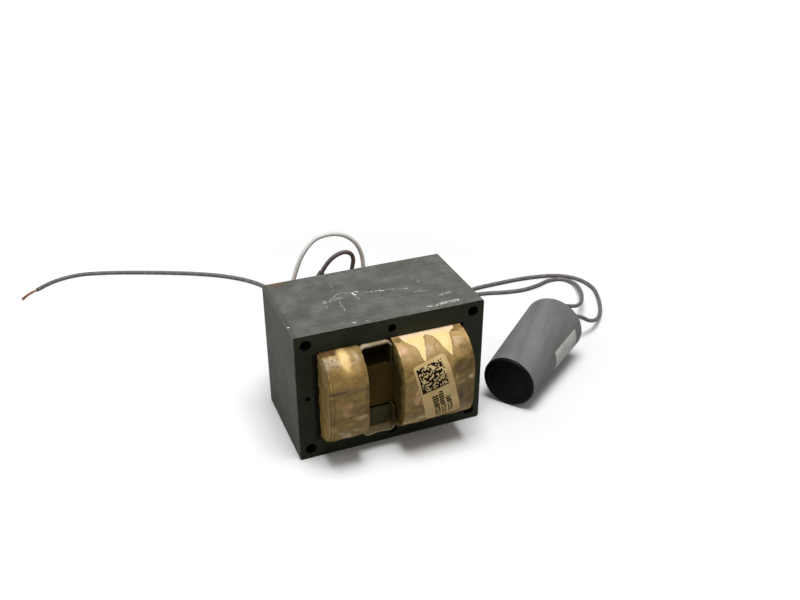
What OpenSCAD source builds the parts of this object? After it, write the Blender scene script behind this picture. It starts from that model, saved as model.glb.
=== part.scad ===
// Core-and-coil ignition transformer with its wired capacitor.
// A shell-type laminated core carries two layer-wound coils on its centre leg, with a
// magnetic shunt in each window between them. The leads start at pads on the rear end
// turns: two bridge the coils, one flies free, and two run to the capacitor.
// Frame: origin on the floor under the middle of the core, +X right, +Y to the rear, +Z up.

/* [Core] */
// Width of the lamination
core_w = 116.2; // [100:0.2:140]
// Height of the lamination
core_h = 84.2; // [74:0.2:104]
// Depth of the lamination stack
core_d = 65; // [50:1:90]
// Width of the left and right limbs
side_limb = 13.1; // [10:0.1:16]
// Height of the top and bottom limbs
yoke_limb = 12.6; // [10:0.1:16]
// Height of the centre leg
leg_h = 25; // [20:0.5:30]
// Radius worn on the outer corners of the stack
corner_r = 1.4; // [0.5:0.1:3]
// Depth of one group of sheets between two shallow grooves
packet_d = 5; // [3:0.5:12]

/* [Holes] */
// Diameter of the four corner bolt holes
corner_hole_d = 6.7; // [5:0.1:8]
// Distance from the side of the stack to the middle of the corner holes
corner_hole_inset = 6.9; // [5:0.1:8]
// Diameter of the holes in the middle of the top and bottom limbs
yoke_hole_d = 5.2; // [3:0.1:6]
// Distance from the top and bottom of the stack to the middle of the holes in those limbs
yoke_hole_inset = 6.6; // [5:0.1:8]
// Diameter of the small holes in the middle of the side limbs
side_hole_d = 3; // [2:0.1:5]
// Distance from the side of the stack to the middle of those small holes
side_hole_inset = 6.6; // [4:0.1:8]

/* [Coils] */
// Wall of the tube round the centre leg, above and below
tube_wall = 1.2; // [0.6:0.1:2]
// Wall of the same tube on the front and rear of the leg
tube_face = 1.6; // [0.8:0.1:2.4]
// Width of the narrow coil
narrow_w = 22.5; // [16:0.5:26]
// Width of the wide coil
wide_w = 43.5; // [36:0.5:45]
// Width of the gap between the coils
coil_gap = 20.5; // [16:0.5:24]
// Play between the narrow coil and the left limb
coil_end_play = 1; // [0.5:0.1:2]
// How far the end turns of the narrow coil stand out of the stack
narrow_reach = 18.8; // [14:0.2:24]
// How far the end turns of the wide coil stand out of the stack
wide_reach = 22.4; // [16:0.2:28]
// Radius of the narrow coil's upper bend
narrow_bend = 17; // [10:0.5:18]
// Radius of the wide coil's upper bend
wide_bend = 20; // [12:0.5:22]
// Radius of the narrow coil's lower bend
narrow_low_bend = 18; // [10:0.5:18]
// Radius of the wide coil's lower bend
wide_low_bend = 21; // [12:0.5:22]
// Play between a coil and the top limb
coil_top_play = 0.3; // [0.2:0.1:1]
// Play between a coil and the bottom limb
coil_low_play = 2; // [0.5:0.1:3]
// Thickness of the outer paper wrap
wrap_t = 0.6; // [0.4:0.1:1]
// Number of layers that show at the side of a winding
coil_layers = 8; // [4:1:10]
// Step between the edge of a wire layer and the paper beside it
layer_step = 0.35; // [0.2:0.05:0.6]
// Width of the bare margin left of the narrow coil's outer band
band_margin = 2.2; // [1:0.1:5]

/* [Shunts] */
// Depth of the upper shunt
upper_shunt_d = 42; // [36:1:60]
// Depth of the lower shunt
lower_shunt_d = 68; // [50:1:72]
// Gap between the leg's tube and the lower shunt
lower_shunt_gap = 2; // [0:0.1:4]
// Thickness of the paper liner round a shunt
liner_t = 1; // [0.6:0.1:1.6]
// How far the upper liner stands out of the stack
upper_liner_out = 3.5; // [1:0.5:8]
// How far the lower liner stands out of the stack
lower_liner_out = 5.5; // [2:0.5:10]
// Radius of the fold of a liner
liner_fold_r = 3.5; // [2:0.5:5]
// Play between a liner and what stands beside it
liner_play = 0.3; // [0.2:0.1:0.8]

/* [Lead pads] */
// Thickness of the pad that covers the lead joints
pad_t = 4; // [3.4:0.2:6]
// Height of a pad
pad_h = 29; // [24:1:34]
// Distance from a pad to the edge of its coil
pad_inset = 2.5; // [1:0.5:5]

/* [Capacitor] */
// Radius of the closed end of the case
case_r = 17.2; // [14:0.2:20]
// Radius of the case at its open end
case_rim_r = 20.8; // [17:0.2:24]
// Length of the case
case_l = 77; // [60:1:95]
// Wall of the case
case_wall = 1.5; // [1:0.1:2.5]
// Radius round the edge of the closed end
case_edge_r = 1.5; // [0.8:0.1:3]
// How far the potting lies below the rim
potting_drop = 1.8; // [1:0.2:3]
// Distance between the two lead sleeves
sleeve_pitch = 12; // [10:1:20]

/* [Leads] */
// Diameter of a lead over its insulation
lead_d = 2.8; // [2.4:0.1:3]
// Diameter of the sleeve on the bridging lead
bridge_sleeve_d = 3.8; // [3.4:0.1:4]

/* [Hidden] */

steel = "#3d4238";
steel_cut = "#596052";
paper = "#b08a55";
paper_brown = "#5a4028";
copper_layers = "#9a7443";
tape = "#b3925f";
black_plastic = "#3a3b3b";
resin = "#17181a";
sleeve = "#6c5f60";
lead_grey = "#8d8889";
lead_pale = "#d9d6d2";
bare_copper = "#8a5a3a";

round_fn = 64;
bore_fn = 48;
mid_z = core_h / 2;
leg_half = leg_h / 2;
window_top = core_h / 2 - yoke_limb;
window_w = core_w - 2 * side_limb;
tube_half = leg_half + tube_wall;
tube_reach = core_d / 2 + tube_face;

narrow_x = -window_w / 2 + coil_end_play;
gap_x = narrow_x + narrow_w;
wide_x = gap_x + coil_gap;

coil_top = window_top - coil_top_play;
coil_low = window_top - coil_low_play;

groove_w = 0.3;
groove_depth = 0.25;
slack = 1;

// ---------------------------------------------------------------- outlines

// Rectangle with round corners, centred on the origin.
module rounded_rect(w, h, r) {
    square([w - 2 * r, h], center = true);
    square([w, h - 2 * r], center = true);
    for (sx = [-1, 1], sy = [-1, 1])
        translate([sx * (w / 2 - r), sy * (h / 2 - r)])
            circle(r, $fn = bore_fn);
}

// Section of a coil across the leg. The middle lies in the window between top and low,
// and each end turn bends out to reach beyond the stack.
module coil_outline(top, low, reach, bend, low_bend) {
    end = core_d / 2 + reach;
    square_low = low_bend - low;
    square_top = top - bend;
    polygon([
        [low_bend - end, -low], [end - low_bend, -low], [end, square_low],
        [end, square_top], [end - bend, top], [bend - end, top],
        [-end, square_top], [-end, square_low]
    ]);
    for (side = [-1, 1]) {
        translate([side * (end - bend), square_top])
            circle(bend, $fn = round_fn);
        translate([side * (end - low_bend), square_low])
            circle(low_bend, $fn = round_fn);
    }
}

// The same section shrunk by an even inset.
module coil_inset(reach, bend, low_bend, inset) {
    coil_outline(coil_top - inset, coil_low - inset, reach - inset,
                 bend - inset, low_bend - inset);
}

// Stands a section drawn in depth and height at x, and gives it a width.
module across(x, width) {
    translate([x, 0, mid_z])
        rotate([90, 0, 90])
            linear_extrude(width)
                children();
}

// Stands a section drawn in width and height on the stack's middle, with a depth.
module through(depth) {
    translate([0, depth / 2, mid_z])
        rotate([90, 0, 0])
            linear_extrude(depth)
                children();
}

// ------------------------------------------------------------------- core

module stack_hole(x, z, d) {
    translate([x, 0, mid_z + z])
        rotate([90, 0, 0])
            cylinder(d = d, h = core_d + 2 * slack, center = true, $fn = bore_fn);
}

// Every hole of the lamination. Both stacks are cut with all of them, so a hole keeps its
// place wherever the joint between the stacks lies.
module stack_holes() {
    rise = core_h / 2 - yoke_hole_inset;
    for (side = [-1, 1]) {
        for (level = [-1, 1])
            stack_hole(side * (core_w / 2 - corner_hole_inset), level * rise, corner_hole_d);
        stack_hole(side * (core_w / 2 - side_hole_inset), 0, side_hole_d);
        stack_hole(0, side * rise, yoke_hole_d);
    }
}

// Grooves between groups of sheets, on every outer side but the ground foot.
module packet_grooves() {
    packets = floor(core_d / packet_d);
    pitch = core_d / packets;
    for (i = [1 : packets - 1])
        translate([0, i * pitch - core_d / 2, mid_z])
            difference() {
                cube([core_w + 2 * slack, groove_w, core_h + 2 * slack], center = true);
                translate([0, 0, -core_h])
                    cube([core_w - 2 * groove_depth, 2 * groove_w,
                          3 * core_h - 2 * groove_depth], center = true);
                translate([0, 0, -core_h / 2])
                    cube([core_w + 4 * slack, 2 * groove_w, 4 * corner_r], center = true);
            }
}

module windows() {
    for (side = [-1, 1])
        translate([0, side * (window_top + leg_half) / 2])
            square([window_w, window_top - leg_half], center = true);
}

module core_e_stack() {
    color(steel)
        difference() {
            through(core_d)
                difference() {
                    intersection() {
                        rounded_rect(core_w, core_h, corner_r);
                        translate([-core_w / 2, -core_h / 2])
                            square([core_w - side_limb, core_h]);
                    }
                    windows();
                }
            stack_holes();
            packet_grooves();
        }
}

module core_i_stack() {
    color(steel)
        difference() {
            through(core_d)
                intersection() {
                    rounded_rect(core_w, core_h, corner_r);
                    translate([core_w / 2 - side_limb, -core_h / 2])
                        square([side_limb, core_h]);
                }
            stack_holes();
            packet_grooves();
        }
}

module leg_tube() {
    color(paper_brown)
        across(narrow_x, wide_x + wide_w - narrow_x)
            difference() {
                square([2 * tube_reach, 2 * tube_half], center = true);
                square([core_d, leg_h], center = true);
            }
}

// ------------------------------------------------------------------ shunts

liner_x = gap_x + liner_play;
liner_w = coil_gap - 2 * liner_play;
liner_low = tube_half;
liner_top = window_top - liner_play;
shunt_play = 0.1;

// Folded liner of the upper window: a channel that opens towards the leg.
module liner_section() {
    height = liner_top - liner_low;
    difference() {
        liner_block(liner_w, height, liner_fold_r);
        translate([0, -slack])
            liner_block(liner_w - 2 * liner_t, height - liner_t + slack,
                        liner_fold_r - liner_t);
    }
}

// Block with its two upper corners rounded, standing on the X axis.
module liner_block(w, h, r) {
    translate([-w / 2, 0])
        square([w, h - r]);
    translate([r - w / 2, 0])
        square([w - 2 * r, h]);
    for (side = [-1, 1])
        translate([side * (w / 2 - r), h - r])
            circle(r, $fn = bore_fn);
}

module liner(side, out) {
    color(paper)
        through(core_d + 2 * out)
            translate([liner_x + liner_w / 2, side * liner_low])
                scale([1, side])
                    liner_section();
}

module upper_liner() { liner(1, upper_liner_out); }

module lower_liner() { liner(-1, lower_liner_out); }

module shunt(side, depth, gap) {
    inner_w = liner_w - 2 * (liner_t + shunt_play);
    inner_h = liner_top - liner_low - liner_t - shunt_play;
    color(steel_cut)
        through(depth)
            translate([liner_x + liner_w / 2, side * liner_low])
                scale([1, side])
                    difference() {
                        liner_block(inner_w, inner_h, liner_fold_r - liner_t);
                        translate([-liner_w / 2, -slack])
                            square([liner_w, gap + slack]);
                    }
}

module upper_shunt() { shunt(1, upper_shunt_d, 0); }

module lower_shunt() { shunt(-1, lower_shunt_d, lower_shunt_gap); }

// ------------------------------------------------------------------- coils

// Section of a winding from its inner layer up to layer count of all.
module layer_outline(reach, bend, low_bend, count) {
    share = count / coil_layers;
    inner_low = tube_half;
    top = tube_half + (coil_top - wrap_t - tube_half) * share;
    low = inner_low + (coil_low - wrap_t - inner_low) * share;
    out = tube_face + (reach - wrap_t - tube_face) * share;
    coil_outline(top, low, out, (bend - wrap_t) * share, (low_bend - wrap_t) * share);
}

// A winding is a nest of rings, and every second one is a step narrower, as the
// wire layers end a little inside the paper between them.
module winding(x, width, reach, bend, low_bend) {
    color(copper_layers)
        difference() {
            across(x, width)
                layer_outline(reach, bend, low_bend, coil_layers);
            across(x - slack, width + 2 * slack)
                square([2 * tube_reach, 2 * tube_half], center = true);
            for (i = [1 : 2 : coil_layers - 1], side = [0, 1])
                across(x + side * width - layer_step, 2 * layer_step)
                    difference() {
                        layer_outline(reach, bend, low_bend, i + 1 - i % 2 * 0.5);
                        layer_outline(reach, bend, low_bend, i);
                    }
        }
}

module wrap(x, width, reach, bend, low_bend) {
    color(paper)
        across(x, width)
            difference() {
                coil_inset(reach, bend, low_bend, 0);
                coil_inset(reach, bend, low_bend, wrap_t);
            }
}

module narrow_winding() {
    winding(narrow_x + layer_step, narrow_w - 2 * layer_step, narrow_reach, narrow_bend,
            narrow_low_bend);
}

module narrow_wrap() {
    wrap(narrow_x, narrow_w, narrow_reach, narrow_bend, narrow_low_bend);
}

// Second turn of paper over the front and rear bends of the narrow coil.
module narrow_band() {
    color(paper)
        difference() {
            across(narrow_x + band_margin, narrow_w - band_margin)
                difference() {
                    coil_outline(coil_top, coil_low, narrow_reach + wrap_t, narrow_bend,
                                 narrow_low_bend);
                    coil_inset(narrow_reach, narrow_bend, narrow_low_bend, 0);
                }
            translate([0, 0, mid_z])
                cube([core_w, core_d + slack, core_h], center = true);
        }
}

module wide_winding() {
    winding(wide_x + layer_step, wide_w - 2 * layer_step, wide_reach, wide_bend,
            wide_low_bend);
}

module wide_wrap() {
    wrap(wide_x, wide_w, wide_reach, wide_bend, wide_low_bend);
}

// --------------------------------------------------------------- lead pads

// Taped pad on the rear bend of a coil, as thick as the lead joints under it.
module lead_pad(x, width, reach, bend, low_bend) {
    color(tape)
        intersection() {
            across(x + pad_inset, width - 2 * pad_inset)
                difference() {
                    coil_inset(reach, bend, low_bend, -pad_t);
                    coil_inset(reach, bend, low_bend, 0);
                }
            translate([x, core_d / 2, mid_z - pad_h / 2])
                cube([width, core_d, pad_h]);
        }
}

module narrow_lead_pad() {
    lead_pad(narrow_x + band_margin / 2, narrow_w - band_margin / 2, narrow_reach + wrap_t,
             narrow_bend, narrow_low_bend);
}

module wide_lead_pad() {
    lead_pad(wide_x, wide_w, wide_reach, wide_bend, wide_low_bend);
}

// --------------------------------------------------------------- capacitor

case_x = 80;
case_y = -29;
case_turn = 52.5;
case_tilt = atan((case_rim_r - case_r) / case_l);
sleeve_d = 4.4;
sleeve_l = 6;
sleeve_out = 3;

// Lays the case on its side with its lowest edge on the floor, closed end forward.
module on_floor() {
    translate([case_x, case_y, case_r * cos(case_tilt)])
        rotate([0, 0, -case_turn])
            rotate([case_tilt - 90, 0, 0])
                children();
}

module capacitor_case() {
    color(black_plastic)
        on_floor()
            difference() {
                rotate_extrude($fn = round_fn) {
                    polygon([
                        [0, 0], [case_r - case_edge_r, 0], [case_r, case_edge_r],
                        [case_rim_r, case_l], [0, case_l]
                    ]);
                    intersection() {
                        translate([case_r - case_edge_r, case_edge_r])
                            circle(case_edge_r, $fn = bore_fn);
                        square([case_r, case_l]);
                    }
                }
                translate([0, 0, case_wall])
                    cylinder(r1 = case_r - case_wall, r2 = case_rim_r - case_wall,
                             h = case_l, $fn = round_fn);
            }
}

module capacitor_potting() {
    fill = case_l - case_wall - potting_drop;
    spread = (case_rim_r - case_r) / case_l;
    color(resin)
        on_floor()
            difference() {
                translate([0, 0, case_wall])
                    cylinder(r1 = case_r - case_wall, r2 = case_r - case_wall + spread * fill,
                             h = fill, $fn = round_fn);
                for (side = [-1, 1])
                    translate([side * sleeve_pitch / 2, 0, case_l - sleeve_l])
                        cylinder(d = sleeve_d, h = sleeve_l, $fn = bore_fn);
            }
}

module capacitor_sleeves() {
    color(resin)
        on_floor()
            for (side = [-1, 1])
                translate([side * sleeve_pitch / 2, 0, case_l - sleeve_l])
                    cylinder(d = sleeve_d, h = sleeve_l + sleeve_out, $fn = bore_fn);
}

// Point in the case's own frame, given in the row's frame.
function case_point(side, height) =
    let (along = height * cos(case_tilt),
         rise = height * sin(case_tilt),
         off = side * sleeve_pitch / 2)
    [case_x + off * cos(case_turn) + along * sin(case_turn),
     case_y - off * sin(case_turn) + along * cos(case_turn),
     case_r * cos(case_tilt) + rise];

// Start of a capacitor lead, straight out of its sleeve.
function case_exit(side) =
    [for (run = [0, 6, 12]) case_point(side, case_l + sleeve_out + run)];

// ------------------------------------------------------------------- leads

lead_sides = 8;

function unit(v) = v / norm(v);

function blend_point(a, b, c, d, t) =
    (2 * b + (c - a) * t + (2 * a - 5 * b + 4 * c - d) * t * t
     + (3 * b - a - 3 * c + d) * t * t * t) / 2;

// Smooth line through the route's points, with steps rings between two of them.
function smooth_line(points, steps) =
    let (last = len(points) - 1)
    concat(
        [for (i = [0 : last - 1], k = [0 : steps - 1])
            blend_point(points[max(i - 1, 0)], points[i], points[i + 1],
                        points[min(i + 2, last)], k / steps)],
        [points[last]]
    );

// Directions along a line. Each end keeps the direction of the route's own end.
function line_tangents(line, points) =
    let (last = len(line) - 1, end = len(points) - 1)
    concat(
        [unit(points[1] - points[0])],
        [for (i = [1 : last - 1]) unit(line[i + 1] - line[i - 1])],
        [unit(points[end] - points[end - 1])]
    );

// Side vectors carried along the line without twist.
function carried(tangents, side, i = 0) =
    i == len(tangents) ? [] :
    let (next = unit(side - (side * tangents[i]) * tangents[i]))
    concat([next], carried(tangents, next, i + 1));

module tube(points, d, steps) {
    line = smooth_line(points, steps);
    tangents = line_tangents(line, points);
    start = abs(tangents[0][2]) > 0.9 ? [1, 0, 0] : [0, 0, 1];
    sides = carried(tangents, start);
    rings = len(line);
    vertices = [
        for (i = [0 : rings - 1], k = [0 : lead_sides - 1])
            let (a = 360 * k / lead_sides)
            line[i] + d / 2 * (cos(a) * sides[i] + sin(a) * cross(tangents[i], sides[i]))
    ];
    skin = [
        for (i = [0 : rings - 2], k = [0 : lead_sides - 1], half = [0, 1])
            let (a = i * lead_sides + k,
                 b = i * lead_sides + (k + 1) % lead_sides)
            half == 0 ? [a, a + lead_sides, b] : [b, a + lead_sides, b + lead_sides]
    ];
    start_cap = [[for (k = [0 : lead_sides - 1]) k]];
    end_cap = [[for (k = [lead_sides - 1 : -1 : 0]) (rings - 1) * lead_sides + k]];
    polyhedron(vertices, concat(skin, start_cap, end_cap));
}

inner_route = concat(
    case_exit(-1),
    [[161, 38, 20], [174, 41, 16], [186, 52, 11], [197, 68, 7.5], [204, 84, 4.5],
     [206, 95, 2.4], [202, 104, 1.6], [191, 106, 1.6], [178, 102, 1.6], [164, 100, 1.6],
     [149, 102, 1.6], [134, 106, 1.6], [118, 107, 1.6], [104, 102, 1.6], [93, 92, 1.6],
     [86, 82, 2.4], [79, 73, 7], [73, 66, 14], [69, 61, 23], [65, 58, 32], [59, 57, 39.5],
     [51, 56.9, 43], [46, 56.9, 43], [40, 56.9, 43]]
);
outer_route = concat(
    case_exit(1),
    [[167, 24, 17.5], [176, 26, 11.5], [185, 31, 7], [195, 40, 3.6], [204, 52, 2],
     [212, 67, 1.6], [217, 83, 1.6], [214, 99, 1.6], [203, 110, 1.6], [187, 115, 1.6],
     [169, 117, 1.6], [150, 117, 1.6], [130, 116, 1.6], [111, 111, 1.6], [95, 101, 1.6],
     [83, 88, 1.8], [75, 77, 6], [69, 68, 14], [65, 61, 23], [59, 57.3, 31],
     [51, 56.9, 35], [46, 56.9, 35], [40, 56.9, 35]]
);
bridge_sleeve_route = [[-26, 53.8, 56.6], [-26, 53.8, 59.6], [-23, 54.2, 63], [-18, 54.7, 68],
                       [-13.5, 55, 74]];
bridge_route = [[-13.5, 55, 74], [-10.5, 55.2, 78], [-7, 55.3, 81.5], [-2.5, 55.5, 84],
                [2.5, 55.6, 84.8], [6.8, 55.8, 82.6], [8.3, 56, 78], [7.4, 56.2, 72],
                [6.5, 56.3, 66], [6, 56.3, 60.6], [6, 56.3, 56.6]];
pale_route = [[-35, 53.8, 56.6], [-35, 53.8, 62], [-33.5, 54.5, 69], [-30.5, 55, 78],
              [-25.5, 56, 88], [-17.5, 57, 96], [-8, 57, 98.5], [2, 57, 96.5],
              [10, 57, 90], [14.5, 57, 80], [15.5, 56.6, 68], [15.5, 56.3, 61.6],
              [15.5, 56.3, 56.6]];
flying_route = [[-30, 53.3, 27.6], [-30, 53.3, 21.6], [-30, 54.5, 14], [-29.5, 60, 7],
                [-28.5, 69, 2.8], [-27, 81, 1.6], [-24, 97, 1.6], [-19, 118, 1.6],
                [-15, 142, 1.6], [-17, 166, 1.6], [-28, 190, 1.6], [-45, 208, 1.6],
                [-66, 222, 1.6], [-88, 233, 1.6], [-111, 243, 1.6], [-135, 252, 1.6],
                [-157, 257, 1.6], [-176, 253, 1.6], [-190, 243, 1.6]];
tip_route = [[-190, 243, 1.6], [-194.2, 240, 1.6], [-198, 236, 1.6], [-201, 231.5, 1.6]];

module capacitor_lead_inner() { color(lead_grey) tube(inner_route, lead_d, 2); }

module capacitor_lead_outer() { color(lead_grey) tube(outer_route, lead_d, 2); }

module bridge_sleeve() { color(sleeve) tube(bridge_sleeve_route, bridge_sleeve_d, 2); }

module bridge_lead() { color(sleeve) tube(bridge_route, lead_d, 2); }

module pale_lead() { color(lead_pale) tube(pale_route, lead_d, 2); }

module flying_lead() { color(lead_grey) tube(flying_route, lead_d, 2); }

module flying_lead_tip() { color(bare_copper) tube(tip_route, lead_d * 0.55, 2); }

core_e_stack();
core_i_stack();
leg_tube();
upper_shunt();
lower_shunt();
upper_liner();
lower_liner();
narrow_winding();
narrow_wrap();
narrow_band();
wide_winding();
wide_wrap();
narrow_lead_pad();
wide_lead_pad();
capacitor_case();
capacitor_potting();
capacitor_sleeves();
capacitor_lead_inner();
capacitor_lead_outer();
bridge_sleeve();
bridge_lead();
pale_lead();
flying_lead();
flying_lead_tip();
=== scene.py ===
"""Finish and fine detail of a core-and-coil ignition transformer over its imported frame."""

from __future__ import annotations

import logging
import math
from collections.abc import Sequence
from dataclasses import dataclass, field
from enum import Enum
from functools import cache

import bpy
import numpy as np
from mathutils import Matrix, Vector


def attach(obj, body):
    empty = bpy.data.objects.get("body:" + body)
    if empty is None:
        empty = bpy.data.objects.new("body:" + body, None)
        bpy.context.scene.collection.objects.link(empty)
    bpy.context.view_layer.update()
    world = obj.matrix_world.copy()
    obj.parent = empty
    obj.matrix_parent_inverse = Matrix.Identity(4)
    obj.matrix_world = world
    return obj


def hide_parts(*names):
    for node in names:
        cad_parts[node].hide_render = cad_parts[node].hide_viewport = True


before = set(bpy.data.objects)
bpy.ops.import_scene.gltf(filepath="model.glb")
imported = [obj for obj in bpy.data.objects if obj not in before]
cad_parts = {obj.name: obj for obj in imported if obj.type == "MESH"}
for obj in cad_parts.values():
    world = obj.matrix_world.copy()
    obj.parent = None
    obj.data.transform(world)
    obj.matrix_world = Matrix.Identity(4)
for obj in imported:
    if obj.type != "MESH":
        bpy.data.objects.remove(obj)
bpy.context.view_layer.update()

Array = np.ndarray
Group = bpy.types.NodeTree
Material = bpy.types.Material
Piece = bpy.types.Object
Socket = bpy.types.NodeSocket
Pair = tuple[float, float]
Vec3 = tuple[float, float, float]
Colour = Vec3
Box = tuple[float, float, float, float]

MM = 0.001
ORIGIN: Vec3 = (0.0, 0.0, 0.0)
CORE_SIZE = (116.2, 65.0, 84.2)
MID_HEIGHT = CORE_SIZE[2] / 2
HALF_DEPTH = CORE_SIZE[1] / 2
HALF_CORE = tuple(size / 2 * MM for size in CORE_SIZE)
FULL_TURN = 2.0 * math.pi
REAR_DROP = 2000.0  # drop at which the rear bend of a coil starts
TUBE_SIDES = 16
FILM_GAP = 0.12  # between the shell and the film, in millimetres
BODY = "root"
log = logging.getLogger("ignition_transformer")


class Slot(Enum):
    """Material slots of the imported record."""

    CORE = "core_steel"
    WRAP = "wrap_paper"
    LAYERS = "winding_layers"
    LINER = "liner_paper"
    TAPE = "pad_tape"
    CASE = "case_plastic"
    RESIN = "case_resin"
    LEAD = "lead_grey"
    SLEEVE = "lead_sleeve"
    PALE = "lead_pale"
    WIRE = "bare_wire"


# ---- node trees


class Field:
    """An output of a node, which adds Math nodes where it is used in a sum."""

    def __init__(self, tree: Tree, socket: Socket) -> None:
        """Takes its tree and its socket."""
        self.tree, self.socket = tree, socket

    def math(self, operation: str, *others: Value, clamp: bool = False) -> Field:
        """Result of a Math node with this field as its first operand."""
        return self.tree.math(operation, self, *others, clamp=clamp)

    def __add__(self, other: Value) -> Field:
        """Sum."""
        return self.math("ADD", other)

    def __sub__(self, other: Value) -> Field:
        """Difference."""
        return self.math("SUBTRACT", other)

    def __mul__(self, other: Value) -> Field:
        """Product."""
        return self.math("MULTIPLY", other)

    def __truediv__(self, other: Value) -> Field:
        """Quotient."""
        return self.math("DIVIDE", other)

    def __abs__(self) -> Field:
        """Size without the sign."""
        return self.math("ABSOLUTE")

    def __lt__(self, other: Value) -> Field:
        """1 where it is less, and 0 elsewhere."""
        return self.math("LESS_THAN", other)

    def __gt__(self, other: Value) -> Field:
        """1 where it is greater, and 0 elsewhere."""
        return self.math("GREATER_THAN", other)

    def most(self, other: Value) -> Field:
        """The greater of the two."""
        return self.math("MAXIMUM", other)

    def least(self, other: Value) -> Field:
        """The lesser of the two."""
        return self.math("MINIMUM", other)

    def step(self, low: Value, high: Value) -> Field:
        """Smooth step from 0 at low to 1 at high, which falls where high is less."""
        return self.tree.node("ShaderNodeMapRange", {"Value": self, "From Min": low, "From Max": high},
                              interpolation_type="SMOOTHSTEP")["Result"]

    def scale(self, low: float, high: float) -> Field:
        """Spreads 0 to 1 over low to high."""
        return self.math("MULTIPLY_ADD", high - low, low)


Value = Field | float | str | Sequence[float]


class Outputs:
    """The outputs of a node, as fields."""

    def __init__(self, tree: Tree, sockets: bpy.types.NodeOutputs) -> None:
        """Takes the node's tree and its sockets."""
        self.tree, self.sockets = tree, sockets

    def __getitem__(self, key: str | int) -> Field:
        """One output, by name or number."""
        return Field(self.tree, self.sockets[key])


class Tree:
    """Adds and links the nodes of a tree."""

    family = "ShaderNode"

    def __init__(self, tree: Group) -> None:
        """Takes the tree to work in."""
        self.tree = tree

    def node(self, kind: str, links: dict[str | int, Value] | None = None, **settings: object) -> Outputs:
        """Adds a node.

        Args:
            kind: Its type, in full or without the prefix of the tree's family.
            links: Its inputs by name or number.
            settings: Values of its own properties.

        Returns:
            Its outputs.
        """
        made = self.tree.nodes.new(kind if "Node" in kind else self.family + kind)
        for name, value in settings.items():
            setattr(made, name, value)
        for name, value in (links or {}).items():
            self.put(made.inputs[name], value)
        return Outputs(self, made.outputs)

    def put(self, socket: Socket, value: Value) -> None:
        """Links a socket to a field, or gives it a plain value.

        Args:
            socket: The socket.
            value: A field, or a plain value.
        """
        if isinstance(value, Field):
            self.tree.links.new(value.socket, socket)
        elif socket.type == "RGBA" and len(value) == 3:
            socket.default_value = (*value, 1.0)
        else:
            socket.default_value = value

    def math(self, operation: str, *values: Value, clamp: bool = False) -> Field:
        """Adds a Math node and returns its result."""
        return self.node("ShaderNodeMath", dict(enumerate(values)), operation=operation,
                         use_clamp=clamp)[0]

    def vector(self, operation: str, *values: Value, output: int = 0) -> Field:
        """Adds a Vector Math node and returns its vector, or its number with output 1."""
        return self.node("ShaderNodeVectorMath", dict(enumerate(values)), operation=operation)[output]

    def combine(self, x: Value = 0.0, y: Value = 0.0, z: Value = 0.0) -> Field:
        """Makes a vector of three numbers."""
        return self.node("ShaderNodeCombineXYZ", {0: x, 1: y, 2: z})[0]

    def parts(self, vector: Value) -> list[Field]:
        """Splits a vector into its three numbers."""
        made = self.node("ShaderNodeSeparateXYZ", {0: vector})
        return [made[index] for index in range(3)]


class ShaderTree(Tree):
    """The tree of a material, a world or a shader group."""

    def mix(self, factor: Value, first: Value, second: Value) -> Field:
        """Goes from the first colour at factor 0 to the second at 1."""
        return self.node("Mix", {0: factor, 6: first, 7: second}, data_type="RGBA")[2]

    def blend(self, colour: Value, *layers: tuple[Field, float, Value]) -> Field:
        """Lays colours over a colour.

        Args:
            colour: The lowest colour.
            layers: Mask, strength and colour of each layer, from the lowest up.

        Returns:
            The blended colour.
        """
        for mask, strength, cover in layers:
            colour = self.mix(mask * strength, colour, cover)
        return colour

    def curve(self, value: Field, points: Sequence[Pair], span: float = 100.0) -> Field:
        """Reads a value off a broken line.

        Args:
            value: Where to read, from 0 up to the span.
            points: Corners of the line, in rising order.
            span: Largest place, and twice the largest size of a reading.

        Returns:
            The reading.
        """
        node = self.tree.nodes.new("ShaderNodeFloatCurve")
        line = node.mapping.curves[0]
        for index, (at, reading) in enumerate(points):
            spot = (at / span, reading / span + 0.5)
            point = line.points[index] if index < 2 else line.points.new(*spot)
            point.location, point.handle_type = spot, "VECTOR"
        node.mapping.extend = "HORIZONTAL"
        node.mapping.update()
        self.put(node.inputs["Value"], value / span)
        return Field(self, node.outputs["Value"]).math("MULTIPLY_ADD", span, -span / 2)

    def noise(self, vector: Value, scale: Value, detail: float = 3.0, roughness: float = 0.55,
              distortion: float = 0.0) -> Field:
        """Noise of about 0.5 in the mean, with so many features per unit."""
        return self.node("TexNoise", {"Vector": vector, "Scale": scale, "Detail": detail,
                                      "Roughness": roughness, "Distortion": distortion})["Fac"]

    def mapped(self, vector: Value, scale: Vec3 = (1.0, 1.0, 1.0), place: Vec3 = ORIGIN) -> Field:
        """Scales and moves a coordinate."""
        return self.node("Mapping", {"Vector": vector, "Scale": scale, "Location": place})["Vector"]

    def use(self, group: Group, **values: Value) -> Outputs:
        """Places a shader group with its inputs, whose names have underscores for spaces."""
        links = {name.replace("_", " "): value for name, value in values.items()}
        return self.node("Group", links, node_tree=group)

    def blotches(self, place: Value, scale: float, softness: float = 0.2, level: float = 0.5) -> Field:
        """Mask of soft patches with a broken border."""
        return self.use(Effects.blotches(), Vector=place, Scale=scale, Level=level,
                        Softness=softness)["Mask"]

    def fibres(self, place: Value, scale: float) -> Outputs:
        """Height and Tint of short fibres."""
        return self.use(Effects.fibres(), Vector=place, Scale=scale)

    def dust(self, place: Value, scale: float) -> Field:
        """Mask of dust on what faces up."""
        return self.use(Effects.settled_dust(), Vector=place, Scale=scale)["Mask"]


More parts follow.
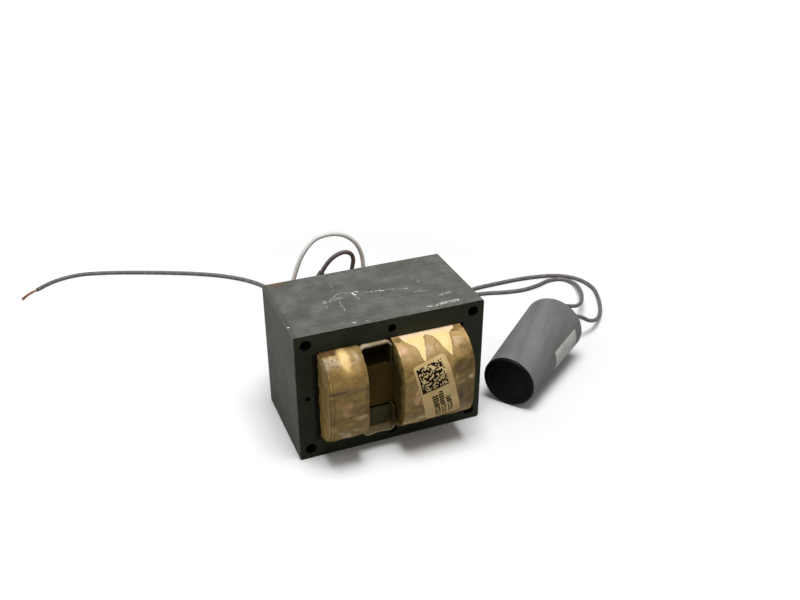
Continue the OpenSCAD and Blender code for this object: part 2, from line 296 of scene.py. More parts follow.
class SurfaceTree(ShaderTree):
    """The tree of one material round its Principled BSDF."""

    def __init__(self, name: str) -> None:
        """Makes an empty material with a Principled BSDF.

        Args:
            name: Its name.
        """
        self.material = bpy.data.materials.new(name)
        self.material.use_nodes = True
        super().__init__(self.material.node_tree)
        self.shader = self.tree.nodes["Principled BSDF"]
        coordinates = self.node("TexCoord")
        self.place, self.uv = coordinates["Object"], coordinates["UV"]

    def core_wear(self, width: float, scale: float) -> Field:
        """Mask of the worn edges of the core."""
        return self.use(Effects.block_edge_wear(), Vector=self.place, Middle=(0.0, 0.0, HALF_CORE[2]),
                        Half_Size=HALF_CORE, Width=width, Scale=scale)["Mask"]

    def finish(self, colour: Value, roughness: Value, height: Field | None = None,
               depth: float = 0.0001, **others: Value) -> None:
        """Fills in the Principled BSDF.

        Args:
            colour: Base colour.
            roughness: Roughness.
            height: Height field of the bump, if there is one.
            depth: Depth of the bump in metres.
            others: Values of other sockets, with underscores for spaces.
        """
        values = {"Base Color": colour, "Roughness": roughness, **others}
        if height is not None:
            values["Normal"] = self.node("Bump", {"Strength": 1.0, "Distance": depth,
                                                  "Height": height})["Normal"]
        for name, value in values.items():
            self.put(self.shader.inputs[name.replace("_", " ")], value)


class GroupTree(ShaderTree):
    """A shader node group with named inputs, and with numbers as outputs."""

    def __init__(self, name: str, outputs: str, **inputs: float | Vec3) -> None:
        """Makes the group.

        Args:
            name: Its name.
            outputs: Names of its outputs.
            inputs: Default of each input, with underscores for the spaces of its name.
        """
        super().__init__(bpy.data.node_groups.new(name, "ShaderNodeTree"))
        face = self.tree.interface
        for label, value in inputs.items():
            kind = "NodeSocketVector" if isinstance(value, tuple) else "NodeSocketFloat"
            socket = face.new_socket(label.replace("_", " "), in_out="INPUT", socket_type=kind)
            socket.default_value = value
        for label in outputs.split():
            face.new_socket(label, in_out="OUTPUT", socket_type="NodeSocketFloat")
        source = self.tree.nodes.new("NodeGroupInput").outputs
        self.given = [Field(self, source[index]) for index in range(len(inputs))]
        self.result = self.tree.nodes.new("NodeGroupOutput").inputs

    def close(self, *results: Field) -> Group:
        """Links the outputs.

        Args:
            results: What the group puts out.

        Returns:
            The group.
        """
        for socket, value in zip(self.result, results):
            self.put(socket, value)
        return self.tree


class GeometryTree(Tree):
    """A geometry node tree with named inputs."""

    family = "GeometryNode"

    def __init__(self, name: str, **inputs: str) -> None:
        """Makes the tree.

        Args:
            name: Its name.
            inputs: Socket type of each input after the geometry, with underscores for spaces.
        """
        super().__init__(bpy.data.node_groups.new(name, "GeometryNodeTree"))
        face = self.tree.interface
        self.sockets = {
            label: face.new_socket(label.replace("_", " "), in_out="INPUT",
                                   socket_type="NodeSocket" + kind).identifier
            for label, kind in {"Geometry": "Geometry", **inputs}.items()}
        face.new_socket("Geometry", in_out="OUTPUT", socket_type="NodeSocketGeometry")
        source = self.tree.nodes.new("NodeGroupInput").outputs
        self.given = [Field(self, source[index]) for index in range(len(self.sockets))]

    def real(self, geometry: Field, material: Field) -> Field:
        """Makes the geometry real and gives it its material."""
        real = self.node("RealizeInstances", {"Geometry": geometry})[0]
        return self.node("SetMaterial", {"Geometry": real, "Material": material})[0]

    def close(self, geometry: Field) -> GeometryTree:
        """Makes the geometry the tree's result and returns the tree."""
        self.put(self.tree.nodes.new("NodeGroupOutput").inputs[0], geometry)
        return self

    def run(self, piece: Piece, **values: object) -> Piece:
        """Runs the tree on a piece and keeps the result as its plain mesh.

        Args:
            piece: The piece.
            values: The inputs, with underscores for spaces.

        Returns:
            The piece.
        """
        modifier = piece.modifiers.new(self.tree.name, "NODES")
        modifier.node_group = self.tree
        for name, value in values.items():
            modifier[self.sockets[name]] = value
        made = evaluated_mesh(piece)
        piece.modifiers.clear()
        before, piece.data = piece.data, made
        bpy.data.meshes.remove(before)
        made.name = piece.name
        return piece


# ---- mesh helpers


def evaluated_mesh(piece: Piece) -> bpy.types.Mesh:
    """Copy of a piece's mesh as its modifiers leave it."""
    graph = bpy.context.evaluated_depsgraph_get()
    return bpy.data.meshes.new_from_object(piece.evaluated_get(graph), depsgraph=graph)


def add_object(name: str, data: bpy.types.ID) -> Piece:
    """Puts an object with this data into the scene.

    Args:
        name: Its name.
        data: Its data.

    Returns:
        The object.
    """
    made = bpy.data.objects.new(name, data)
    bpy.context.scene.collection.objects.link(made)
    return made


def new_piece(name: str, points: Array, faces: Sequence[Sequence[int]], material: Material,
              uv: Array | None = None, sharp: float = 40.0) -> Piece:
    """Makes a mesh piece.

    Args:
        name: Its name.
        points: Its vertices in metres.
        faces: Its faces, pointing outwards.
        material: Its material.
        uv: One UV point for each vertex.
        sharp: Angle in degrees above which an edge is sharp.

    Returns:
        The new object.
    """
    mesh = bpy.data.meshes.new(name)
    mesh.from_pydata(points.reshape(-1, 3).tolist(), [], faces)
    if uv is not None:
        layer = mesh.uv_layers.new(name="Surface")
        corners = np.empty(len(mesh.loops), np.int32)
        mesh.loops.foreach_get("vertex_index", corners)
        layer.data.foreach_set("uv", uv.reshape(-1, 2)[corners].astype(np.float32).ravel())
    mesh.materials.append(material)
    mesh.polygons.foreach_set("use_smooth", [True] * len(mesh.polygons))
    mesh.update()
    mesh.set_sharp_from_angle(angle=math.radians(sharp))
    return add_object(name, mesh)


def line_piece(name: str, points: Array, closed: bool) -> Piece:
    """Makes a piece of edges only, from each point to the next.

    Args:
        name: Its name.
        points: Its points in metres.
        closed: Whether the last point joins the first.

    Returns:
        The new object.
    """
    count = len(points)
    edges = [(i, (i + 1) % count) for i in range(count if closed else count - 1)]
    mesh = bpy.data.meshes.new(name)
    mesh.from_pydata(points.tolist(), edges, [])
    return add_object(name, mesh)


def shell_piece(name: str, shells: Sequence[Array], material: Material, uv: Array | None = None,
                sharp: float = 40.0, looped: bool = False, flipped: bool = False) -> Piece:
    """Makes a walled sheet.

    Args:
        name: Its name.
        shells: Its outer and its inner side, each a grid of points in metres.
        material: Its material.
        uv: UV points as one grid, or one for each side.
        sharp: Angle in degrees above which an edge is sharp.
        looped: Whether the last row joins the first.
        flipped: Whether the grid runs the other way round.

    Returns:
        The new object.
    """
    rows, cols = shells[0].shape[:2]
    under = rows * cols
    steps = [(i * cols, (i + 1) % rows * cols) for i in range(rows if looped else rows - 1)]
    faces = [(a + j, b + j, b + j + 1, a + j + 1) for a, b in steps for j in range(cols - 1)]
    faces += [tuple(k + under for k in reversed(face)) for face in faces]
    for a, b in steps:
        c, d = a + cols - 1, b + cols - 1
        faces += [(a, a + under, b + under, b), (d, d + under, c + under, c)]
    if not looped:
        for j in range(cols - 1):
            k = (rows - 1) * cols + j
            faces += [(j + 1, j + 1 + under, j + under, j), (k, k + under, k + 1 + under, k + 1)]
    if flipped:
        faces = [tuple(reversed(face)) for face in faces]
    flat = None if uv is None else np.broadcast_to(uv, (2, rows, cols, 2))
    return new_piece(name, np.stack(shells), faces, material, flat, sharp)


def register(piece: Piece, slot: Slot, *nodes: str) -> Piece:
    """Rides a piece on the body, and hides the CAD nodes it replaces.

    Args:
        piece: The piece.
        slot: Its material slot; not used.
        nodes: The CAD nodes.

    Returns:
        The piece.
    """
    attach(piece, BODY)
    if nodes:
        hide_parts(*nodes)
    log.info("%s: %d faces", piece.name, len(piece.data.polygons))
    return piece


def dress(node: str, material: Material) -> None:
    """Gives a CAD node its finish.

    Args:
        node: The CAD node.
        material: Its finish.
    """
    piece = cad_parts[node]
    piece.data.materials.clear()
    piece.data.materials.append(material)
    log.info("%s: finished as it is", node)


def smooth_step(value: Array, low: float, high: float) -> Array:
    """Rises smoothly from 0 at low to 1 at high."""
    share = np.clip((value - low) / (high - low), 0.0, 1.0)
    return share * share * (3.0 - 2.0 * share)


# ---- effects


class Effects:
    """Shader groups that several finishes share. Each is built once."""

    @staticmethod
    @cache
    def blotches() -> Group:
        """Soft patches with a broken border, as varnish leaves them.

        Returns:
            The group.
        """
        group = GroupTree("blotches", "Mask", Vector=ORIGIN, Scale=40.0, Level=0.5, Softness=0.1)
        place, scale, level, soft = group.given
        mixed = group.noise(place, scale * 6.0) * 0.25 + group.noise(place, scale, 2.0, 0.5, 0.6) * 0.75
        return group.close(mixed.step(level - soft, level + soft))

    @staticmethod
    @cache
    def fibres() -> Group:
        """Short fibres of paper or board, as a height and a tint.

        Returns:
            The group.
        """
        group = GroupTree("fibres", "Height Tint", Vector=ORIGIN, Scale=900.0)
        place, scale = group.given
        along = group.noise(group.mapped(place, (1.0, 0.25, 0.6)), scale, 4.0, 0.65, 1.2)
        across = group.noise(group.mapped(place, (0.3, 1.0, 1.0)), scale, 3.0, 0.6, 1.8)
        return group.close(along + across, group.noise(place, scale * 0.2).step(0.3, 0.7))

    @staticmethod
    @cache
    def crumple() -> Group:
        """Fine creases of paper that was crumpled and smoothed out again.

        Returns:
            The group.
        """
        group = GroupTree("crumple", "Ridge", Vector=ORIGIN, Scale=100.0)
        place, scale = group.given
        wander = group.node("TexNoise", {"Vector": place, "Scale": scale})["Color"]
        bent = group.vector("MULTIPLY_ADD", wander, (0.012, 0.012, 0.0), place)
        cells = group.node("TexVoronoi", {"Vector": bent, "Scale": scale}, feature="DISTANCE_TO_EDGE")
        line = cells["Distance"].step(0.10, 0.0)
        return group.close(line * group.noise(place, scale, 2.0).step(0.40, 0.62))

    @staticmethod
    @cache
    def settled_dust() -> Group:
        """Dust that lies on what faces up.

        Returns:
            The group.
        """
        group = GroupTree("settled_dust", "Mask", Vector=ORIGIN, Scale=120.0)
        place, scale = group.given
        up = group.parts(group.node("NewGeometry")["Normal"])[2].step(0.2, 0.95)
        return group.close(up * group.noise(place, scale, 5.0, 0.65).step(0.35, 0.75))

    @staticmethod
    @cache
    def block_edge_wear() -> Group:
        """Worn edges of a block, from how near two of its faces are.

        Returns:
            The group.
        """
        group = GroupTree("block_edge_wear", "Mask", Vector=ORIGIN, Middle=ORIGIN,
                          Half_Size=(0.1, 0.1, 0.1), Width=0.001, Scale=300.0)
        place, middle, half, width, scale = group.given
        size = group.vector("ABSOLUTE", group.vector("SUBTRACT", place, middle))
        x, y, z = group.parts(group.vector("SUBTRACT", half, size))
        second = x + y + z - x.least(y).least(z) - x.most(y).most(z)
        reach = width * group.noise(place, scale, 4.0, 0.7).math("MULTIPLY_ADD", 3.2, -1.0)
        near = group.math("SUBTRACT", 1.0, second / reach, clamp=True)
        return group.close(near * (reach > 0.0))

    @staticmethod
    @cache
    def oval() -> Group:
        """An oval patch with a broken border.

        Returns:
            The group.
        """
        group = GroupTree("oval", "Mask", Vector=ORIGIN, Middle=ORIGIN, Size=(1.0, 1.0, 1.0), Turn=0.0,
                          Torn=0.5, Edge=0.3)
        place, middle, size, turn, torn, edge = group.given
        turned = group.node("VectorRotate", {"Vector": place, "Center": middle, "Angle": turn},
                            rotation_type="Z_AXIS")[0]
        share = group.vector("DIVIDE", group.vector("SUBTRACT", turned, middle), size)
        broken = torn * 0.9 + (group.vector("LENGTH", share, output=1) - 0.45)
        return group.close(broken.step(edge + 1.0, group.math("SUBTRACT", 1.0, edge)))


# ---- finishes


@dataclass(frozen=True)
class Finish:
    """A procedural material."""

    name: str

    def paint(self, tree: SurfaceTree) -> None:
        """Fills in the material's tree. Each finish has its own way."""
        raise NotImplementedError

    def material(self) -> Material:
        """Builds the material.

        Returns:
            The material.
        """
        tree = SurfaceTree(self.name)
        self.paint(tree)
        return tree.material


@dataclass(frozen=True)
class CutEdges(Finish):
    """Varnished edges of the sheets on the top, the sides and the foot of the stack.

    A stroke is a scratch on the top: two ends in millimetres, its width and its weight.
    """

    name: str = "varnished_sheet_edges"
    base: Colour = (0.108, 0.111, 0.094)
    dark: Colour = (0.060, 0.062, 0.052)
    bare: Colour = (0.50, 0.50, 0.46)
    scratch: Colour = (0.80, 0.80, 0.76)
    rust: Colour = (0.22, 0.10, 0.03)
    painted_shade: Colour = (0.006, 0.006, 0.004)
    strokes: tuple[tuple[float, ...], ...] = (
        (-19.2, 20.3, -20.5, 10.6, 0.3, 0.4), (-29.6, -0.2, -28.8, -0.8, 0.5, 1.2),
        (-30.3, -6.2, -29.8, -6.8, 0.4, 1.0), (-25.8, 0.5, -20.5, 4.8, 0.5, 0.65),
        (-20.5, 4.8, -17.0, 5.9, 0.5, 0.6), (-17.0, 5.9, -12.2, 4.0, 0.45, 0.5),
        (-11.2, 3.5, -9.9, 0.9, 0.8, 1.3), (-8.8, 4.7, -7.6, 3.6, 0.55, 1.2),
        (-10.9, 1.0, -9.3, -5.3, 0.4, 0.7), (-19.6, 2.0, -21.4, -4.5, 0.3, 0.4),
        (-21.4, -4.5, -21.8, -14.5, 0.35, 0.6), (-4.5, 2.2, 0.3, 0.5, 0.45, 0.7),
        (2.8, 0.7, 5.5, 0.3, 0.5, 0.95), (5.6, -0.1, 7.3, -0.8, 0.6, 1.3),
        (8.8, -0.1, 13.1, -0.5, 0.45, 0.8), (13.1, -0.5, 20.0, -3.0, 0.35, 0.4),
        (20.5, -3.1, 21.7, -3.1, 0.4, 0.9), (36.5, -18.2, 43.3, -16.8, 1.6, 0.4),
        (23.8, -27.8, 27.4, -28.6, 0.7, 0.9), (29.0, -28.4, 29.8, -28.2, 0.6, 1.1),
        (31.8, -27.6, 43.3, -27.0, 1.6, 0.95), (-28.3, -26.8, -27.5, -26.7, 0.5, 0.9),
        (-22.4, -28.8, -21.0, -29.1, 0.7, 1.1), (-14.6, -29.9, -13.5, -30.0, 0.7, 1.0),
        (-57.0, -20.0, -56.5, -20.8, 0.6, 1.2), (24.0, -9.0, 31.0, -10.0, 1.2, 0.3),
        (-30.0, -2.0, -19.0, 0.5, 1.5, 0.25), (30.5, 2.5, 31.6, 2.2, 0.4, 0.7),
    )

    def scuffs(self) -> Group:
        """Builds the group that draws the strokes.

        Returns:
            A group from a place in millimetres to a mask.
        """
        group = GroupTree("scuffs", "Mask", Vector=ORIGIN)
        place = group.given[0]
        broken = group.noise(place, 1.1, 4.0, 0.75).step(0.42, 0.60)
        warp = group.noise(place, 0.45, 2.0) * 2.0
        x, y, z = group.parts(place)
        total: Value = 0.0
        for start_x, start_y, stop_x, stop_y, width, weight in self.strokes:
            run = np.subtract((stop_x, stop_y), (start_x, start_y))
            length = float(np.hypot(*run))
            unit_x, unit_y = (run / length).tolist()
            rel_x, rel_y = x - start_x, y - start_y
            along = rel_x * unit_x + rel_y * unit_y
            bent = warp + (rel_x * -unit_y + rel_y * unit_x - 1.0)
            far = abs(bent).most((along - length).most(along * -1.0))
            total = (far.step(width, width * 0.3) * weight).most(total)
        solid = broken.most(total.step(0.95, 1.15))
        on_top = z > CORE_SIZE[2] - 1.0
        return group.close((total * solid).math("MULTIPLY", on_top, clamp=True))

    def paint(self, tree: SurfaceTree) -> None:
        """Lays streaks, dust, wear, scratches and rust over the varnish, with painted light and shade.

        Args:
            tree: The tree of the material.
        """
        place, half_x, half_z = tree.place, HALF_CORE[0], HALF_CORE[2]
        x, _, z = tree.parts(place)
        streak = tree.noise(tree.mapped(place, (0.12, 9.0, 0.12)), 160.0, 3.0, 0.6)
        patch = tree.blotches(place, 38.0, 0.16)
        # Painted light: the two end faces of the stack grow lighter towards the top.
        rise = tree.noise(tree.mapped(place, (0.12, 5.0, 0.3)), 90.0, 3.0, 0.6) * 0.03 + z
        side = abs(x).step(half_x - 0.0009, half_x - 0.0003) * rise.step(0.010, 0.085)
        marks = tree.use(self.scuffs(), Vector=tree.mapped(place, (1000.0,) * 3))["Mask"]
        corner = tree.vector("DISTANCE", place, (-0.0500, 0.0335, 0.084), output=1)
        rusty = corner.step(0.008, 0.001) * tree.noise(place, 500.0, 4.0, 0.7).step(0.42, 0.6)
        # Painted shade: the walls of the windows and holes are coloured near black.
        inside = (abs(x) < half_x - 0.0016) * (abs(z - half_z) < half_z - 0.0012)
        colour = tree.blend(
            self.base, (streak.step(0.3, 0.7), 0.34, self.dark), (patch, 0.30, self.dark),
            (tree.noise(place, 900.0, 5.0, 0.75).step(0.55, 0.8), 0.25, self.bare),
            (tree.dust(place, 60.0), 0.16, self.bare), (side, 0.30, self.bare),
            (tree.core_wear(0.0005, 260.0), 0.55, self.bare),
            # Painted shade: darker over the left face and along the left edge of the top.
            (x.step(-half_x + 0.0032, -half_x + 0.0014), 0.6, self.dark),
            (marks, 1.0, self.scratch), (rusty, 1.0, self.rust), (inside, 1.0, self.painted_shade))
        tree.finish(colour, patch.scale(0.52, 0.68), streak * 0.7 + marks * -0.5, 0.00006,
                    Specular_IOR_Level=0.3)


@dataclass(frozen=True)
class SheetFace(Finish):
    """Dark oxide of the first and last sheet, with a painted shadow left of the left window."""

    name: str = "oxide_sheet_face"
    base: Colour = (0.019, 0.022, 0.011)
    light: Colour = (0.049, 0.055, 0.035)
    bare: Colour = (0.20, 0.205, 0.18)
    painted_shade: Colour = (0.002, 0.002, 0.001)

    def paint(self, tree: SurfaceTree) -> None:
        """Lays clouds, roll marks, wear, the painted shadow band and specks over the oxide.

        Args:
            tree: The tree of the material.
        """
        place = tree.place
        x, _, z = tree.parts(place)
        cloud = tree.blotches(place, 45.0, 0.18, 0.56)
        rolled = tree.noise(tree.mapped(place, (0.15, 1.0, 3.0)), 420.0, 4.0, 0.6)
        # Painted shadow: a near-black band on the face just left of the left window.
        ragged = tree.noise(place, 260.0) * 0.0016 + x
        soaked = (ragged.step(-0.0474, -0.0464) * x.step(-0.0440, -0.0448)
                  * abs(z - HALF_CORE[2]).step(0.031, 0.028))
        colour = tree.blend(
            self.base, (cloud, 0.55, self.light), (rolled.step(0.5, 0.85), 0.3, self.light),
            (tree.core_wear(0.0007, 220.0), 0.6, self.bare), (soaked, 0.95, self.painted_shade),
            (tree.noise(place, 1400.0, 2.0, 0.5).step(0.71, 0.76), 0.5, self.bare))
        tree.finish(colour, cloud.scale(0.55, 0.75), rolled, 0.00003, Specular_IOR_Level=0.18)


@dataclass(frozen=True)
class ShuntSteel(Finish):
    """Edges of the sheets of a shunt under thin varnish."""

    name: str = "shunt_sheet_edges"
    base: Colour = (0.082, 0.078, 0.032)
    dark: Colour = (0.028, 0.027, 0.009)
    pitch: float = 0.00065

    def paint(self, tree: SurfaceTree) -> None:
        """Draws a dark gap between each sheet and the next, and clouds over them.

        Args:
            tree: The tree of the material.
        """
        gap = (tree.parts(tree.place)[2] * (FULL_TURN / self.pitch)).math("SINE").step(0.55, 0.95)
        cloud = tree.blotches(tree.place, 90.0)
        colour = tree.blend(self.base, (cloud, 0.6, self.dark), (gap, 0.6, self.dark))
        tree.finish(colour, cloud.scale(0.45, 0.65), gap * -1.0, 0.00005, Specular_IOR_Level=0.12)


@dataclass(frozen=True)
class Paper(Finish):
    """Varnished paper or board without marks of its own."""

    base: Colour
    dark: Colour
    pale: Colour
    rough: Pair = (0.35, 0.6)
    coat: float = 0.2
    shine: float = 0.5

    def paint(self, tree: SurfaceTree) -> None:
        """Lays soaked patches and fibres over the paper.

        Args:
            tree: The tree of the material.
        """
        soak = tree.blotches(tree.place, 55.0, 0.15)
        fibre = tree.fibres(tree.place, 1500.0)
        colour = tree.blend(self.base, (soak, 0.85, self.dark), (fibre["Tint"], 0.22, self.pale))
        tree.finish(colour, soak.scale(*reversed(self.rough)), fibre["Height"], 0.00005,
                    Coat_Weight=self.coat, Coat_Roughness=0.3, Specular_IOR_Level=self.shine)


@dataclass(frozen=True)
class LeafPaper(Finish):
    """Edges of the paper leaves of a coil, with painted shade: dark at the tube, lighter towards the wrap.
    """

    end: float
    bend: float
    rise: float = 28.35
    inner: Colour = (0.075, 0.050, 0.008)
    outer: Colour = (0.42, 0.30, 0.085)
    soaked: Colour = (0.045, 0.030, 0.005)

    def paint(self, tree: SurfaceTree) -> None:
        """Colours each leaf by how far it lies from the tube.

        Args:
            tree: The tree of the material.
        """
        _, y, z = tree.parts(tree.mapped(tree.place, (1000.0,) * 3, (0.0, 0.0, -MID_HEIGHT)))
        deep, high = (abs(part) - (reach - self.bend) for part, reach in ((y, self.end), (z, self.rise)))
        deep, high = deep.most(0.0), high.most(0.0)
        cloud = tree.noise(tree.place, 160.0, 4.0, 0.65)
        # Painted shade: the leaves darken from the wrap in towards the tube.
        depth = cloud * 6.0 + ((deep * deep + high * high).math("SQRT") - (self.bend + 3.0))
        colour = tree.blend(self.inner, (depth.step(-11.0, 0.0), 1.0, self.outer),
                            (cloud.step(0.55, 0.35), 0.6, self.soaked))
        tree.finish(colour, 0.6, cloud, 0.00005, Coat_Weight=0.04, Specular_IOR_Level=0.2)


@dataclass(frozen=True)
class LinerPaper(Finish):
    """Liner board: pale at its bars outside the stack; dark elsewhere, partly varnish, partly painted
    shade.
    """

    name: str = "liner_board"
    pale: Colour = (0.40, 0.31, 0.19)
    light: Colour = (0.62, 0.53, 0.38)
    yellow: Colour = (0.36, 0.28, 0.10)
    brown: Colour = (0.20, 0.13, 0.06)
    dark: Colour = (0.060, 0.036, 0.006)
    soaked: Colour = (0.085, 0.060, 0.012)
    bar: float = 0.0275

    def paint(self, tree: SurfaceTree) -> None:
        """Colours the board by where it lies. V is 0 on its outside and 1 on its inside.

        Args:
            tree: The tree of the material.
        """
        _, y, z = tree.parts(tree.place)
        fibre = tree.fibres(tree.place, 900.0)
        # Painted shade: only the bars that stand out of the stack are pale; the legs and all inside take
        # the dark colour.
        level = abs(z - HALF_CORE[2]).step(self.bar - 0.0015, self.bar)
        shown = (abs(y) - HALF_CORE[1]).step(0.0, 0.001) * level
        low = z < HALF_CORE[2]
        # Partly painted shade: the inner side is darker, most in the lower channel.
        inside = tree.parts(tree.uv)[1].step(0.55, 0.95) * low.scale(0.35, 0.9)
        board = tree.blend(self.pale, (fibre["Tint"], 1.0, self.light), (low, 0.55, self.yellow),
                           (tree.blotches(tree.place, 90.0, 0.12), 0.6, self.brown),
                           (inside, 1.0, self.soaked))
        tree.finish(tree.mix(shown, self.dark, board), 0.6, fibre["Height"], 0.00005)


@dataclass(frozen=True)
class HighlightArea:
    """A painted highlight between two torn borders, each given as corners of drop and width."""

    left: tuple[Pair, ...]
    right: tuple[Pair, ...]
    border: float = 0.5


class Tint(Enum):
    """Tints of the wrapping paper, for real stains and also for painted highlights and painted shadows."""

    SOAKED = (0.110, 0.060, 0.012)
    DARK = (0.055, 0.030, 0.006)
    BROWN = (0.20, 0.115, 0.030)
    TAN = (0.50, 0.315, 0.125)
    ROSY = (0.66, 0.385, 0.185)
    GOLD = (0.46, 0.27, 0.075)
    PALE = (0.72, 0.57, 0.34)
    RUST = (0.42, 0.10, 0.05)
    CHAR = (0.075, 0.026, 0.006)
    OLIVE = (0.150, 0.112, 0.034)


@dataclass(frozen=True)
class Stain:
    """An oval patch of the paper in another tint, in millimetres of width and drop."""

    x: float
    drop: float
    width: float
    height: float
    tint: Tint
    level: float = 0.8
    turn: float = 0.0
    edge: float = 0.3


@dataclass(frozen=True)
class WrapPaper(Finish):
    """Amber paper round a coil: brown where it is soaked, paler at its upper bend, with painted highlights
    there.
    """

    areas: tuple[HighlightArea, ...]
    stains: tuple[Stain, ...]
    base: Colour = (0.325, 0.203, 0.055)
    soaked: Colour = (0.175, 0.105, 0.028)
    upper: Colour = (0.50, 0.315, 0.125)
    # Colours of the painted highlights, lower down and at the top of the bend.
    painted_highlight: Colour = (0.90, 0.68, 0.29)
    highlight_top: Colour = (0.94, 0.70, 0.46)
    upper_end: float = 19.0
    coat: float = 0.10

    def paint(self, tree: SurfaceTree) -> None:
        """Lays soaking, stains, fibres, dark creases, and painted highlights with painted shade round them.

        Args:
            tree: The tree of the material. Its UV holds millimetres of width and drop.
        """
        flat = tree.uv
        metres = tree.mapped(flat, (MM, MM, MM))
        soak = tree.blotches(metres, 55.0, 0.07)
        fibre = tree.fibres(metres, 1300.0)
        across, drop, _ = tree.parts(flat)
        torn = tree.noise(flat, 0.42, 4.0, 0.62)
        high = (torn * 12.0 + drop).step(self.upper_end + 10.0, self.upper_end)
        stains = [(tree.use(Effects.oval(), Vector=flat, Middle=(stain.x, stain.drop, 0.0),
                            Size=(stain.width, stain.height, 1.0), Turn=math.radians(stain.turn), Torn=torn,
                            Edge=stain.edge)["Mask"], stain.level, stain.tint.value)
                  for stain in self.stains]
        ridge = tree.use(Effects.crumple(), Vector=metres, Scale=105.0)["Ridge"]
        fine = torn * 2.2 + (across - 1.1)
        # The wider mask is painted shade round each painted highlight; pale is the highlight's colour down
        # the bend.
        rim, painted_highlight = (self.highlight_mask(tree, fine, drop, wider) for wider in (0.9, 0.0))
        pale = tree.mix(drop.step(1.0, 7.0), self.highlight_top, self.painted_highlight)
        colour = tree.blend(self.base, (soak, 0.6, self.soaked), (high, 0.85, self.upper), *stains,
                            (fibre["Tint"], 0.10, self.painted_highlight), (ridge, 0.28, self.soaked),
                            (rim, 0.35, self.soaked), (painted_highlight, 1.0, pale))
        tree.finish(colour, painted_highlight * 0.12 + soak.scale(0.46, 0.34),
                    fibre["Height"] * 0.05 + ridge * -0.14, 0.001,
                    Coat_Weight=self.coat, Coat_Roughness=0.28, Specular_IOR_Level=0.34)

    def highlight_mask(self, tree: ShaderTree, across: Field, drop: Field, wider: float) -> Field:
        """Mask of all painted highlights.

        Args:
            tree: The tree to work in.
            across: Place across the width.
            drop: Place down the bend.
            wider: How much wider each area is made, in millimetres.

        Returns:
            The mask.
        """
        total: Value = 0.0
        for area in self.areas:
            half = area.border / 2
            left, right = (tree.curve(drop, border) for border in (area.left, area.right))
            inside = (across - left).least(right - across)
            total = inside.step(-half - wider, half - wider).most(total)
        return total


@dataclass(frozen=True)
class CodeLabel(Finish):
    """Tan label with a block of random cells and three columns of dashes, all generic.

    A box is its left, right, upper and lower limit. U runs 0 to 1 over the width and V down.
    """

    name: str = "tan_label"
    stock: Colour = (0.60, 0.425, 0.185)
    light: Colour = (0.74, 0.555, 0.275)
    ink: Colour = (0.012, 0.008, 0.002)
    cells: int = 22
    block: Box = (0.065, 0.84, 0.052, 0.456)
    columns: tuple[Box, ...] = (
        (0.285, 0.445, 0.545, 0.95), (0.475, 0.615, 0.515, 0.95), (0.66, 0.80, 0.65, 0.95))

    def paint(self, tree: SurfaceTree) -> None:
        """Prints worn ink on the soiled stock.

        Args:
            tree: The tree of the material.
        """
        u, v, _ = tree.parts(tree.uv)
        block = self.inside(u, v, self.block)
        ink = self.random_cells(u, v) * block
        for box in self.columns:
            ink = ink.most(self.dashes(u, v, box))
        soil = tree.blotches(tree.mapped(tree.uv, (0.4, 0.8, 1.0)), 5.0)
        worn = tree.noise(tree.uv, 60.0, 4.0, 0.7).step(0.30, 0.42)
        colour = tree.blend(self.stock, (soil, 0.8, self.light), (block, 1.0, self.light),
                            (ink * worn.scale(0.8, 1.0), 1.0, self.ink))
        tree.finish(colour, soil.scale(0.5, 0.62), Specular_IOR_Level=0.06)

    def inside(self, u: Field, v: Field, box: Box) -> Field:
        """Mask of a box."""
        left, right, upper, lower = box
        return (u > left) * (u < right) * ((v > upper) * (v < lower))

    def chance(self, column: Field, row: Field) -> Field:
        """One random number for each cell."""
        cell = column.tree.combine(column.math("FLOOR"), row.math("FLOOR"))
        return column.tree.node("TexWhiteNoise", {"Vector": cell}, noise_dimensions="2D")["Value"]

    def random_cells(self, u: Field, v: Field) -> Field:
        """Random cells of the block, with two dark sides.

        Args:
            u: Place over the width.
            v: Place down the height.

        Returns:
            Where there is ink.
        """
        left, right, upper, lower = self.block
        column = (u - left) * (self.cells / (right - left))
        row = (v - upper) * (self.cells / (lower - upper))
        border = (column < 1.0).most(row > self.cells - 1.0)
        return (self.chance(column, row) > 0.40).most(border)

    def dashes(self, u: Field, v: Field, box: Box) -> Field:
        """Column of short random dashes, which are no characters.

        Args:
            u: Place over the width.
            v: Place down the height.
            box: The column's box.

        Returns:
            Where there is ink.
        """
        column = (u - box[0]) * (3.0 / (box[1] - box[0]))
        dark = self.chance(column, v * 72.0) > 0.20
        return dark * ((v * 24.0).math("FRACT") > 0.20) * self.inside(u, v, box)


@dataclass(frozen=True)
class CasePlastic(Finish):
    """Black moulded plastic of the capacitor's case."""

    name: str = "case_plastic"
    base: Colour = (0.0035, 0.0035, 0.0025)
    light: Colour = (0.009, 0.009, 0.007)
    rough: float = 0.5
    level: float = 0.12

    def paint(self, tree: SurfaceTree) -> None:
        """Clouds the plastic and grains it.

        Args:
            tree: The tree of the material.
        """
        cloud = tree.noise(tree.place, 70.0)
        tree.finish(tree.mix(cloud.step(0.35, 0.75), self.base, self.light),
                    cloud.scale(self.rough - 0.1, self.rough + 0.1),
                    tree.noise(tree.place, 2500.0, 2.0), 0.00002, Specular_IOR_Level=self.level)


